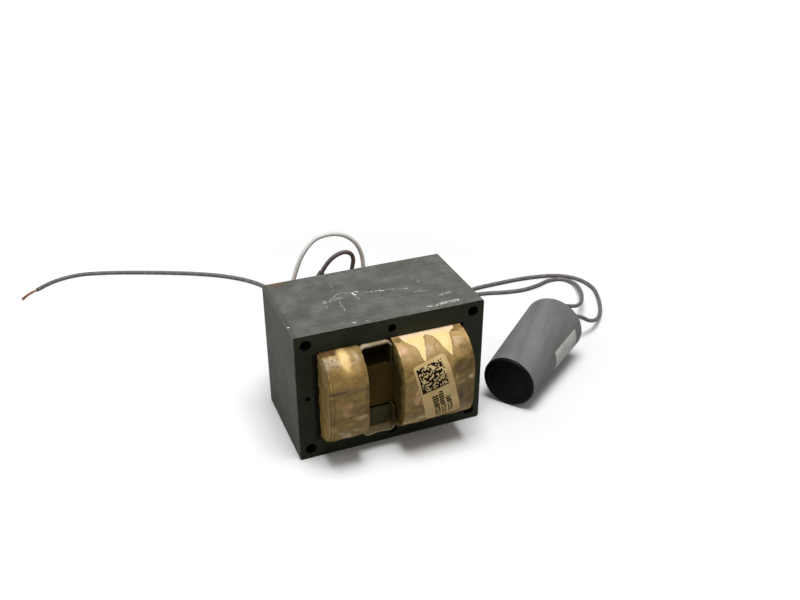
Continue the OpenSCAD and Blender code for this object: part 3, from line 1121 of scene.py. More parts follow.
@dataclass(frozen=True)
class CaseFilm(Finish):
    """Grey film shrunk round the case, with soft bands along it."""

    name: str = "case_film"
    base: Colour = (0.190, 0.190, 0.184)
    dark: Colour = (0.135, 0.135, 0.130)
    light: Colour = (0.260, 0.260, 0.254)

    def paint(self, tree: SurfaceTree) -> None:
        """Lays bands, rub marks and dust over the film.

        Args:
            tree: The tree of the material. U runs round the case and V along it, in millimetres.
        """
        band = tree.noise(tree.mapped(tree.uv, (0.09, 0.010, 1.0)), 1.0, 2.0, 0.5)
        rub = tree.noise(tree.mapped(tree.uv, (0.5, 0.06, 1.0)), 1.0, 4.0, 0.7).step(0.55, 0.8)
        colour = tree.blend(self.dark, (band.step(0.35, 0.65), 1.0, self.base),
                            (rub, 0.6, self.light), (tree.dust(tree.place, 90.0), 0.25, self.light))
        tree.finish(colour, rub.scale(0.42, 0.58), band, 0.0002, Specular_IOR_Level=0.45)


@dataclass(frozen=True)
class Insulation(Finish):
    """Soft insulation of a lead, scuffed along its length."""

    base: Colour
    light: Colour
    rough: float = 0.42

    def paint(self, tree: SurfaceTree) -> None:
        """Lays scuffs and grime over the insulation.

        Args:
            tree: The tree of the material. U runs round the lead and V along it, in millimetres.
        """
        scuff = tree.noise(tree.mapped(tree.uv, (0.8, 0.25, 1.0)), 1.0, 4.0, 0.65)
        grime = tree.blotches(tree.place, 90.0)
        colour = tree.blend(self.base, (scuff.step(0.4, 0.8), 1.0, self.light),
                            (grime, 0.3, tuple(0.5 * channel for channel in self.base)))
        tree.finish(colour, grime.scale(self.rough, self.rough + 0.18), scuff, 0.00003)


@dataclass(frozen=True)
class Copper(Finish):
    """Tarnished copper, bare or under enamel."""

    base: Colour
    dark: Colour
    metal: float = 1.0

    def paint(self, tree: SurfaceTree) -> None:
        """Lays tarnish over the metal.

        Args:
            tree: The tree of the material.
        """
        tarnish = tree.blotches(tree.place, 400.0)
        colour = tree.mix(tarnish * 0.8, self.base, self.dark)
        tree.finish(colour, tarnish.scale(0.3, 0.5), Metallic=self.metal)


@dataclass(frozen=True)
class PlainStock(Finish):
    """Blank pale label stock, a little soiled."""

    name: str = "blank_label"
    base: Colour = (0.62, 0.62, 0.60)
    soiled: Colour = (0.44, 0.44, 0.42)

    def paint(self, tree: SurfaceTree) -> None:
        """Soils the stock."""
        colour = tree.blend(self.base, (tree.blotches(tree.place, 120.0), 0.7, self.soiled))
        tree.finish(colour, 0.6, tree.fibres(tree.place, 1600.0)["Height"], 0.00003)


# ---- studio


@dataclass(frozen=True)
class SoftBox:
    """A soft area lamp that aims at the object."""

    name: str
    place: Vec3
    aim: Vec3
    size: Pair
    power: float

    def build(self) -> None:
        """Adds the lamp."""
        lamp = bpy.data.lights.new(self.name, "AREA")
        lamp.shape = "RECTANGLE"
        lamp.size, lamp.size_y = self.size
        lamp.energy = self.power
        holder = add_object(self.name, lamp)
        holder.location = self.place
        towards = Vector(self.aim) - Vector(self.place)
        holder.rotation_euler = towards.to_track_quat("-Z", "Y").to_euler()


@dataclass(frozen=True)
class Studio:
    """Camera, lamps, world and floor."""

    camera_place: Vec3 = (-0.16217, -0.43706, 0.34109)
    camera_turn: Vec3 = (60.647, -0.166, -22.326)
    lens: float = 40.42
    sensor: float = 36.0
    world_level: float = 0.30
    floor_half: float = 6.0
    floor_fade: Pair = (0.15, 0.55)
    floor_middle: Pair = (0.02, 0.08)
    floor_shown: Colour = (0.93, 0.93, 0.93)
    floor_bounce: Colour = (0.42, 0.42, 0.41)
    lamps: tuple[SoftBox, ...] = (
        SoftBox("overhead_softbox", (0.0, -0.12, 1.1), (0.03, 0.0, 0.04), (0.55, 0.45), 10.5),
        SoftBox("left_softbox", (-1.2, 0.35, 0.55), (0.0, 0.0, 0.04), (0.7, 0.6), 3.2),
    )

    def build_camera(self) -> None:
        """Adds the camera at the viewing angle."""
        data = bpy.data.cameras.new("camera")
        data.lens, data.sensor_width = self.lens, self.sensor
        data.clip_start, data.clip_end = 0.01, 50.0
        holder = add_object("camera", data)
        holder.location = self.camera_place
        holder.rotation_euler = [math.radians(angle) for angle in self.camera_turn]
        bpy.context.scene.camera = holder

    def build_world(self) -> None:
        """Gives the world an even pale level."""
        world = bpy.data.worlds.new("studio_world")
        world.use_nodes = True
        tree = ShaderTree(world.node_tree)
        sky = tree.tree.nodes["Background"].inputs
        tree.put(sky["Color"], (1.0, 1.0, 1.0))
        tree.put(sky["Strength"], tree.node("LightPath")["Is Camera Ray"].scale(self.world_level, 1.0))
        bpy.context.scene.world = world
        bpy.context.scene.view_settings.view_transform = "Standard"

    def build_floor(self) -> None:
        """Adds the floor: white to the eye, and a mid grey in what it bounces."""
        half = self.floor_half
        points = np.array([(x, y, 0.0) for x, y in (
            (-half, -half), (half, -half), (half, half), (-half, half))])
        tree = SurfaceTree("studio_floor")
        path = tree.node("LightPath")
        seen = path["Is Camera Ray"].most(path["Is Transmission Ray"])
        x, y = self.floor_middle
        far = tree.vector("LENGTH", tree.mapped(tree.place, place=(-x, -y, 0.0)), output=1)
        tree.finish(tree.mix(seen, self.floor_bounce, self.floor_shown), 0.9,
                    Specular_IOR_Level=0.0, Emission_Color=(1.0, 1.0, 1.0),
                    Emission_Strength=far.step(*self.floor_fade) * seen)
        new_piece("studio_floor", points, [(0, 1, 2, 3)], tree.material)

    def build(self) -> None:
        """Builds the whole studio."""
        self.build_camera()
        self.build_world()
        for lamp in self.lamps:
            lamp.build()
        self.build_floor()
        log.info("studio: %d lamps", len(self.lamps))


# ---- leads


def blend_points(points: Array, steps: int) -> Array:
    """Runs one smooth line through a route's points.

    Args:
        points: The route.
        steps: Points from one of its points to the next.

    Returns:
        The points of the line.
    """
    last = len(points) - 1
    made = []
    for i in range(last):
        a, b, c, d = (points[max(i - 1, 0)], points[i], points[i + 1], points[min(i + 2, last)])
        for t in np.arange(steps) / steps:
            made.append((2 * b + (c - a) * t + (2 * a - 5 * b + 4 * c - d) * t ** 2
                         + (3 * b - a - 3 * c + d) * t ** 3) / 2)
    return np.array([*made, points[last]])


def tube_piece(name: str, line: Array, diameter: float, material: Material) -> Piece:
    """Sweeps a round tube along a line, closed at both ends.

    Args:
        name: Name of the piece.
        line: Points of its centre line, in metres.
        diameter: Its diameter in metres.
        material: Its material.

    Returns:
        The piece. Its UV holds millimetres round and along it.
    """
    sides = TUBE_SIDES
    ahead = np.gradient(line, axis=0)
    ahead[0], ahead[-1] = line[1] - line[0], line[-1] - line[-2]
    ahead /= np.linalg.norm(ahead, axis=1, keepdims=True)
    across = np.array([1.0, 0.0, 0.0] if abs(ahead[0][2]) > 0.9 else [0.0, 0.0, 1.0])
    angles = np.linspace(0.0, FULL_TURN, sides + 1)[:-1]
    run = np.concatenate([[0.0], np.cumsum(np.linalg.norm(np.diff(line, axis=0), axis=1))])
    rings, flat = [], []
    for centre, direction, along in zip(line, ahead, run):
        across = across - across.dot(direction) * direction
        across /= np.linalg.norm(across)
        third = np.cross(direction, across)
        rings.append(centre + diameter / 2 * (np.outer(np.cos(angles), across)
                                              + np.outer(np.sin(angles), third)))
        flat.append(np.stack([angles * diameter / 2 / MM, np.full(sides, along / MM)], 1))
    faces = []
    for start in range(0, (len(line) - 1) * sides, sides):
        for k in range(sides):
            a, b = start + k, start + (k + 1) % sides
            faces.append((a, b, b + sides, a + sides))
    last = (len(line) - 1) * sides
    faces += [tuple(reversed(range(sides))), tuple(range(last, last + sides))]
    return new_piece(name, np.array(rings), faces, material, np.array(flat))


@dataclass(frozen=True)
class CapacitorPlace:
    """Where the capacitor lies, in millimetres and degrees, as in the part's source."""

    x: float = 80.0
    y: float = -29.0
    turn: float = 52.5
    near_radius: float = 17.2
    rim_radius: float = 20.8
    length: float = 77.0
    sleeve_out: float = 3.0
    sleeve_pitch: float = 12.0

    @property
    def tilt(self) -> float:
        """Angle between the axis and the floor, in degrees."""
        return math.degrees(math.atan((self.rim_radius - self.near_radius) / self.length))

    def matrix(self) -> Matrix:
        """Place of the case, whose own axis is Z.

        Returns:
            From the case's frame to the row frame, in millimetres.
        """
        height = self.near_radius * math.cos(math.radians(self.tilt))
        return (Matrix.Translation((self.x, self.y, height))
                @ Matrix.Rotation(math.radians(-self.turn), 4, "Z")
                @ Matrix.Rotation(math.radians(self.tilt - 90.0), 4, "X"))

    def exit_points(self, side: int) -> list[Vec3]:
        """Where a lead leaves the case, straight out of its sleeve.

        Args:
            side: -1 for the inner sleeve and 1 for the outer one.

        Returns:
            The first points of the lead.
        """
        out = self.length + self.sleeve_out
        return [tuple(self.matrix() @ Vector((side * self.sleeve_pitch / 2, 0.0, out + run)))
                for run in (0.0, 6.0, 12.0)]


@dataclass
class Leads:
    """All leads. Their routes repeat the part's own."""

    place: CapacitorPlace
    diameter: float = 2.8
    sleeve_diameter: float = 3.8
    steps: int = 6
    strands: int = 7
    inner: tuple[Vec3, ...] = (
        (161, 38, 20), (174, 41, 16), (186, 52, 11), (197, 68, 7.5), (204, 84, 4.5),
        (206, 95, 2.4), (202, 104, 1.6), (191, 106, 1.6), (178, 102, 1.6), (164, 100, 1.6),
        (149, 102, 1.6), (134, 106, 1.6), (118, 107, 1.6), (104, 102, 1.6), (93, 92, 1.6),
        (86, 82, 2.4), (79, 73, 7), (73, 66, 14), (69, 61, 23), (65, 58, 32), (59, 57, 39.5),
        (51, 56.9, 43), (46, 56.9, 43), (40, 56.9, 43))
    outer: tuple[Vec3, ...] = (
        (167, 24, 17.5), (176, 26, 11.5), (185, 31, 7), (195, 40, 3.6), (204, 52, 2),
        (212, 67, 1.6), (217, 83, 1.6), (214, 99, 1.6), (203, 110, 1.6), (187, 115, 1.6),
        (169, 117, 1.6), (150, 117, 1.6), (130, 116, 1.6), (111, 111, 1.6), (95, 101, 1.6),
        (83, 88, 1.8), (75, 77, 6), (69, 68, 14), (65, 61, 23), (59, 57.3, 31),
        (51, 56.9, 35), (46, 56.9, 35), (40, 56.9, 35))
    bridge_sleeve: tuple[Vec3, ...] = (
        (-26, 53.8, 56.6), (-26, 53.8, 59.6), (-23, 54.2, 63), (-18, 54.7, 68), (-13.5, 55, 74))
    bridge: tuple[Vec3, ...] = (
        (-13.5, 55, 74), (-10.5, 55.2, 78), (-7, 55.3, 81.5), (-2.5, 55.5, 84),
        (2.5, 55.6, 84.8), (6.8, 55.8, 82.6), (8.3, 56, 78), (7.4, 56.2, 72),
        (6.5, 56.3, 66), (6, 56.3, 60.6), (6, 56.3, 56.6))
    pale: tuple[Vec3, ...] = (
        (-35, 53.8, 56.6), (-35, 53.8, 62), (-33.5, 54.5, 69), (-30.5, 55, 78),
        (-25.5, 56, 88), (-17.5, 57, 96), (-8, 57, 98.5), (2, 57, 96.5), (10, 57, 90),
        (14.5, 57, 80), (15.5, 56.6, 68), (15.5, 56.3, 61.6), (15.5, 56.3, 56.6))
    flying: tuple[Vec3, ...] = (
        (-30, 53.3, 27.6), (-30, 53.3, 21.6), (-30, 54.5, 14), (-29.5, 60, 7),
        (-28.5, 69, 2.8), (-27, 81, 1.6), (-24, 97, 1.6), (-19, 118, 1.6),
        (-15, 142, 1.6), (-17, 166, 1.6), (-28, 190, 1.6), (-45, 208, 1.6),
        (-66, 222, 1.6), (-88, 233, 1.6), (-111, 243, 1.6), (-135, 252, 1.6),
        (-157, 257, 1.6), (-176, 253, 1.6), (-190, 243, 1.6))
    tip: tuple[Vec3, ...] = ((-190, 243, 1.6), (-194.2, 240, 1.6), (-198, 236, 1.6), (-201, 231.5, 1.6))

    def finishes(self) -> dict[str, Material]:
        """Builds the insulation of every kind of lead.

        Returns:
            The materials by name.
        """
        return {name: Insulation(name, *looks).material() for name, *looks in (
            ("grey_insulation", (0.150, 0.132, 0.130), (0.34, 0.32, 0.32)),
            ("violet_insulation", (0.105, 0.072, 0.078), (0.21, 0.16, 0.165)),
            ("pale_insulation", (0.74, 0.72, 0.70), (0.82, 0.81, 0.80)),
            ("sleeving", (0.085, 0.056, 0.052), (0.17, 0.12, 0.11), 0.6))}

    def line(self, *routes: Sequence[Vec3]) -> Array:
        """Smooth line through one or more routes that follow each other, in metres."""
        lines = [blend_points(np.array(route, float) * MM, self.steps) for route in routes]
        return np.concatenate([lines[0], *(extra[1:] for extra in lines[1:])])

    def lay(self, name: str, line: Array, finish: Material, slot: Slot, node: str) -> None:
        """Args:
            name: Name of the piece.
            line: Its centre line in metres.
            finish: Its insulation.
            slot: Its material slot.
            node: The CAD node it replaces.
        """
        piece = register(tube_piece(name, line, self.diameter * MM, finish), slot, node)
        tuple(line[0])

    def twisted_tip(self, line: Array) -> Piece:
        """Builds the bare twisted strands at the end of the flying lead.

        Args:
            line: Centre line of the strands in metres.

        Returns:
            The piece.
        """
        tree = GeometryTree("twisted_strands", Strands="Int", Strand_Radius="Float",
                            Lay_Radius="Float", Turns="Float", Material="Material")
        route, strands, strand_radius, lay_radius, turns, material = tree.given
        curve = tree.node("MeshToCurve", {"Mesh": route})[0]
        fine = tree.node("ResampleCurve", {"Curve": curve, "Count": 40})[0]
        copies = tree.node("DuplicateElements", {"Geometry": fine, "Amount": strands}, domain="SPLINE")
        run = tree.node("SplineParameter")["Factor"]
        angle = (copies["Duplicate Index"] / strands + run * turns) * FULL_TURN
        spread = lay_radius * run.scale(1.0, 1.5)
        side = tree.node("InputNormal")["Normal"]
        third = tree.vector("CROSS_PRODUCT", tree.node("InputTangent")[0], side)
        shifts = [tree.node("ShaderNodeVectorMath", {0: way, "Scale": angle.math(wave) * spread},
                            operation="SCALE")[0]
                  for way, wave in ((side, "COSINE"), (third, "SINE"))]
        laid = tree.node("SetPosition", {"Geometry": copies["Geometry"],
                                         "Offset": tree.vector("ADD", *shifts)})[0]
        ring = tree.node("CurvePrimitiveCircle", {"Resolution": 8, "Radius": strand_radius})[0]
        solid = tree.node("CurveToMesh", {"Curve": laid, "Profile Curve": ring, "Fill Caps": True})[0]
        tree.close(tree.real(solid, material))
        copper = Copper("bare_copper", (0.60, 0.30, 0.16), (0.22, 0.10, 0.055)).material()
        return tree.run(line_piece("flying_strands", line, closed=False), Strands=self.strands,
                        Strand_Radius=0.00024, Lay_Radius=0.00048, Turns=2.5, Material=copper)

    def build(self) -> None:
        """Builds every lead."""
        finish = self.finishes()
        for side, route, tag in ((-1, self.inner, "inner"), (1, self.outer, "outer")):
            line = self.line((*self.place.exit_points(side), *route))
            self.lay(f"capacitor_{tag}_lead", line, finish["grey_insulation"], Slot.LEAD,
                     f"capacitor_lead_{tag}")
        sleeve = tube_piece("bridge_sleeving", self.line(self.bridge_sleeve),
                            self.sleeve_diameter * MM, finish["sleeving"])
        register(sleeve, Slot.SLEEVE, "bridge_sleeve")
        self.lay("bridge_wire", self.line(self.bridge_sleeve, self.bridge),
                 finish["violet_insulation"], Slot.SLEEVE, "bridge_lead")
        self.lay("pale_wire", self.line(self.pale), finish["pale_insulation"], Slot.PALE, "pale_lead")
        strands = register(self.twisted_tip(self.line(self.tip)), Slot.WIRE, "flying_lead_tip")
        self.lay("flying_wire", self.line(self.flying), finish["grey_insulation"], Slot.LEAD,
                 "flying_lead")


# ---- core


@dataclass
class LaminatedCore:
    """The E and I stacks as single sheets with their holes, in millimetres."""

    width: float = CORE_SIZE[0]
    height: float = CORE_SIZE[2]
    depth: float = CORE_SIZE[1]
    side_limb: float = 13.1
    yoke_limb: float = 12.6
    leg: float = 25.0
    corner_radius: float = 1.4
    sheets: int = 100
    sheet: float = 0.62
    side_play: float = 0.035
    lift: float = 0.07
    corner_hole: Vec3 = (51.2, 35.5, 3.35)
    yoke_hole: Pair = (35.5, 2.6)
    side_hole: Pair = (51.5, 1.5)

    def corner(self, x: float, z: float) -> list[Pair]:
        """One worn outer corner, in order round the outline.

        Args:
            x: Where the sharp corner would be across.
            z: Where it would be in height.

        Returns:
            Its points.
        """
        radius, sx, sz = self.corner_radius, math.copysign(1, x), math.copysign(1, z)
        turn = np.linspace(0.0, math.pi / 2, 5)
        if sx * sz < 0:
            turn = turn[::-1]
        return [(x - sx * radius * (1 - math.cos(a)), z - sz * radius * (1 - math.sin(a))) for a in turn]

    def outline_e(self) -> list[Pair]:
        """Outline of an E sheet, anticlockwise from its lower left corner.

        Returns:
            Its points.
        """
        half_w, half_h = self.width / 2, self.height / 2
        tip, root = half_w - self.side_limb, self.side_limb - half_w
        window, leg = half_h - self.yoke_limb, self.leg / 2
        return [*self.corner(-half_w, -half_h), (tip, -half_h), (tip, -window),
                (root, -window), (root, -leg), (tip, -leg), (tip, leg), (root, leg),
                (root, window), (tip, window), (tip, half_h), *self.corner(-half_w, half_h)]

    def outline_i(self) -> list[Pair]:
        """Outline of an I sheet, anticlockwise from its lower left corner.

        Returns:
            Its points.
        """
        half_w, half_h = self.width / 2, self.height / 2
        left = half_w - self.side_limb
        return [(left, -half_h), *self.corner(half_w, -half_h),
                *self.corner(half_w, half_h), (left, half_h)]

    def sheet_piece(self, name: str, outline: list[Pair], holes: Sequence[Vec3]) -> Piece:
        """Builds one sheet round the middle of the core.

        Args:
            name: Name of the piece.
            outline: Its outline.
            holes: Middle and radius of each hole.

        Returns:
            The sheet, standing in the XZ plane.
        """
        data = bpy.data.curves.new(name, "CURVE")
        data.dimensions, data.fill_mode = "2D", "BOTH"
        data.extrude = self.sheet / 2 * MM
        turn = np.linspace(0.0, FULL_TURN, 29)[:-1]
        rings = [[(x + r * math.cos(a), z + r * math.sin(a)) for a in turn] for x, z, r in holes]
        for ring in (outline, *rings):
            spline = data.splines.new("POLY")
            spline.points.add(len(ring) - 1)
            spline.use_cyclic_u = True
            for point, (x, z) in zip(spline.points, ring):
                point.co = (x * MM, z * MM, 0.0, 1.0)
        flat = add_object(name + "_outline", data)
        mesh = evaluated_mesh(flat)
        bpy.data.objects.remove(flat)
        mesh.transform(Matrix.Rotation(math.radians(90.0), 4, "X"))
        mesh.transform(Matrix.Translation((0.0, 0.0, self.height / 2 * MM)))
        mesh.materials.clear()
        mesh.set_sharp_from_angle(angle=math.radians(35.0))
        return add_object(name, mesh)

    def stack_tree(self) -> GeometryTree:
        """Builds the tree that repeats one sheet through the depth of the stack.

        Returns:
            The tree.
        """
        tree = GeometryTree("sheet_stack", Sheets="Int", Pitch="Float", Side_Play="Float",
                            Lift="Float", Seed="Int", Edge_Material="Material", Face_Material="Material")
        sheet, count, pitch, play, lift, seed, edge, face = tree.given
        back = pitch * count.math("MULTIPLY_ADD", -0.5, 0.5)
        places = tree.node("MeshLine", {"Count": count, "Start Location": tree.combine(y=back),
                                        "Offset": tree.combine(y=pitch)})[0]
        sheets = tree.node("InstanceOnPoints", {"Points": places, "Instance": sheet})[0]
        chance = tree.node("FunctionNodeRandomValue", {
            "Min": tree.combine(x=play * -1.0), "Max": tree.combine(x=play, z=lift),
            "Seed": seed}, data_type="FLOAT_VECTOR")[0]
        shifted = tree.node("TranslateInstances", {"Instances": sheets, "Translation": chance})[0]
        facing = abs(tree.parts(tree.node("InputNormal")["Normal"])[1]) > 0.5
        return tree.close(tree.node("SetMaterial", {
            "Geometry": tree.real(shifted, edge), "Selection": facing, "Material": face})[0])

    def build(self) -> None:
        """Builds both stacks."""
        edges, face = CutEdges().material(), SheetFace().material()
        tree = self.stack_tree()
        hole_x, hole_z, hole_r = self.corner_hole
        yoke_z, yoke_r = self.yoke_hole
        side_x, side_r = self.side_hole
        i_holes = [(hole_x, -hole_z, hole_r), (hole_x, hole_z, hole_r), (side_x, 0.0, side_r)]
        e_holes = [(-x, z, r) for x, z, r in i_holes]
        e_holes[2:2] = [(0.0, -yoke_z, yoke_r), (0.0, yoke_z, yoke_r)]
        for name, outline, holes, seed, node in (
                ("e_sheets", self.outline_e(), e_holes, 3, "core_e_stack"),
                ("i_sheets", self.outline_i(), i_holes, 8, "core_i_stack")):
            piece = tree.run(
                self.sheet_piece(name, outline, holes), Sheets=self.sheets,
                Pitch=self.depth / self.sheets * MM, Side_Play=self.side_play * MM,
                Lift=self.lift * MM, Seed=seed, Edge_Material=edges, Face_Material=face)
            register(piece, Slot.CORE, node)


# ---- coils


@dataclass(frozen=True)
class CoilSection:
    """Outline of a coil across the leg, in millimetres round the middle of the core."""

    reach: float
    bend: float
    low_bend: float
    top: float = 29.2
    low: float = 27.5
    half_depth: float = HALF_DEPTH

    @property
    def end(self) -> float:
        """How far the end turns reach from the middle."""
        return self.half_depth + self.reach

    def stretches(self) -> list[Pair]:
        """The stretches of the outline, from the top middle over the front.

        Returns:
            Length and turning angle of each.
        """
        quarter = math.pi / 2
        flat_top, flat_low = self.end - self.bend, self.end - self.low_bend
        upright = self.top + self.low - self.bend - self.low_bend
        front = [(flat_top, 0.0), (self.bend * quarter, quarter), (upright, 0.0),
                 (self.low_bend * quarter, quarter), (flat_low, 0.0)]
        return [*front, *reversed(front)]

    @property
    def length(self) -> float:
        """Length of the whole outline."""
        return sum(length for length, _ in self.stretches())

    @property
    def half(self) -> float:
        """Run from the top middle to the bottom middle over the front."""
        return self.length / 2

    @property
    def bend_run(self) -> float:
        """Run of one end turn, from the face of the stack over the bend and back."""
        return self.half - 2.0 * self.half_depth

    def at(self, run: Array) -> tuple[Array, Array]:
        """Points and outward directions of the outline.

        Args:
            run: Distances along it from the top middle over the front, in millimetres.

        Returns:
            Depth and height of each point, and of its outward direction.
        """
        place, heading = np.array([0.0, self.top]), math.pi
        points, outward = np.zeros((len(run), 2)), np.zeros((len(run), 2))
        start = 0.0
        run = np.mod(run, self.length)
        for length, turn in self.stretches():
            part = np.clip(run - start, 0.0, length)
            here = (run >= start - 1e-9) & (run <= start + length + 1e-9)
            angle = heading + part * turn / length
            away = np.stack([np.sin(angle), -np.cos(angle)], 1)
            ahead = np.array([math.cos(heading), math.sin(heading)])
            if turn:
                radius = length / turn
                middle = place + radius * np.array([-ahead[1], ahead[0]])
                spots = middle + radius * away
                place = middle + radius * np.array([math.sin(heading + turn), -math.cos(heading + turn)])
            else:
                spots, place = place + part[:, None] * ahead, place + length * ahead
            points[here], outward[here] = spots[here], away[here]
            heading, start = heading + turn, start + length
        return points, outward


@dataclass(frozen=True)
class Fold:
    """A crease in the paper, from one point to another in width and drop, in millimetres."""

    start: Pair
    stop: Pair
    height: float
    reach: float


@dataclass
class Creases:
    """Height of a coil's paper over its plain outline, in millimetres."""

    width: Pair
    folds: tuple[Fold, ...]
    seed: int
    loose: int = 34
    loose_height: float = 0.62
    flats: tuple[tuple[float, float, float, float, float], ...] = ()
    laps: tuple[Pair, ...] = ()
    made: list[Fold] = field(default_factory=list)

    def prepare(self, front_run: float) -> None:
        """Draws the loose creases of the front and rear bends.

        Args:
            front_run: Length of one end turn outside the stack.
        """
        chance = np.random.default_rng(self.seed)
        left, right = self.width
        for base in (0.0, REAR_DROP):
            for _ in range(self.loose):
                x, drop = chance.uniform(left, right), chance.uniform(3.0, front_run - 3.0)
                angle = chance.normal(0.0, 0.55) + (math.pi / 2 if chance.random() < 0.3 else 0.0)
                length = chance.uniform(8.0, 26.0)
                dx, dd = length / 2 * math.cos(angle), length / 2 * math.sin(angle)
                height = self.loose_height * chance.uniform(0.25, 1.0) * chance.choice((-0.6, 1.0))
                self.made.append(Fold((x - dx, drop - dd + base), (x + dx, drop + dd + base),
                                      height, chance.uniform(1.3, 4.2)))
        self.made += list(self.folds)

    def height(self, x: Array, drop: Array) -> Array:
        """Sums the creases.

        Args:
            x: Places across the width.
            drop: Places down the bend. The rear bend starts at REAR_DROP.

        Returns:
            The heights.
        """
        total = np.zeros_like(x)
        for fold in self.made:
            start, run = np.array(fold.start), np.subtract(fold.stop, fold.start)
            length = float(np.hypot(*run))
            unit = run / length
            rel_x, rel_d = x - start[0], drop - start[1]
            along = rel_x * unit[0] + rel_d * unit[1]
            across = np.abs(rel_d * unit[0] - rel_x * unit[1])
            tent = np.clip(1.0 - across / fold.reach, 0.0, 1.0)
            soft = max(1.5, 0.25 * length)
            ends = np.clip(np.minimum(along, length - along) / soft, 0.0, 1.0)
            total += fold.height * tent * ends
        for middle_x, middle_d, half_w, half_h, turn in self.flats:
            c, s = math.cos(turn), math.sin(turn)
            u = np.abs((x - middle_x) * c - (drop - middle_d) * s)
            v = np.abs((x - middle_x) * s + (drop - middle_d) * c)
            outside = np.maximum(u - half_w, v - half_h)
            total *= 0.25 + 0.75 * smooth_step(outside, 0.0, 2.5)
        for at, height in self.laps:
            end = at + 0.25 * np.sin(x * 0.5 + at)
            total += height * (1.0 - smooth_step(drop, end - 0.1, end + 0.5)) * (drop < REAR_DROP / 2)
        wave = np.sin(0.33 * x + 0.21 * drop + self.seed) * np.sin(0.24 * drop - 0.17 * x)
        return np.maximum(total + 0.28 * wave, -0.45)


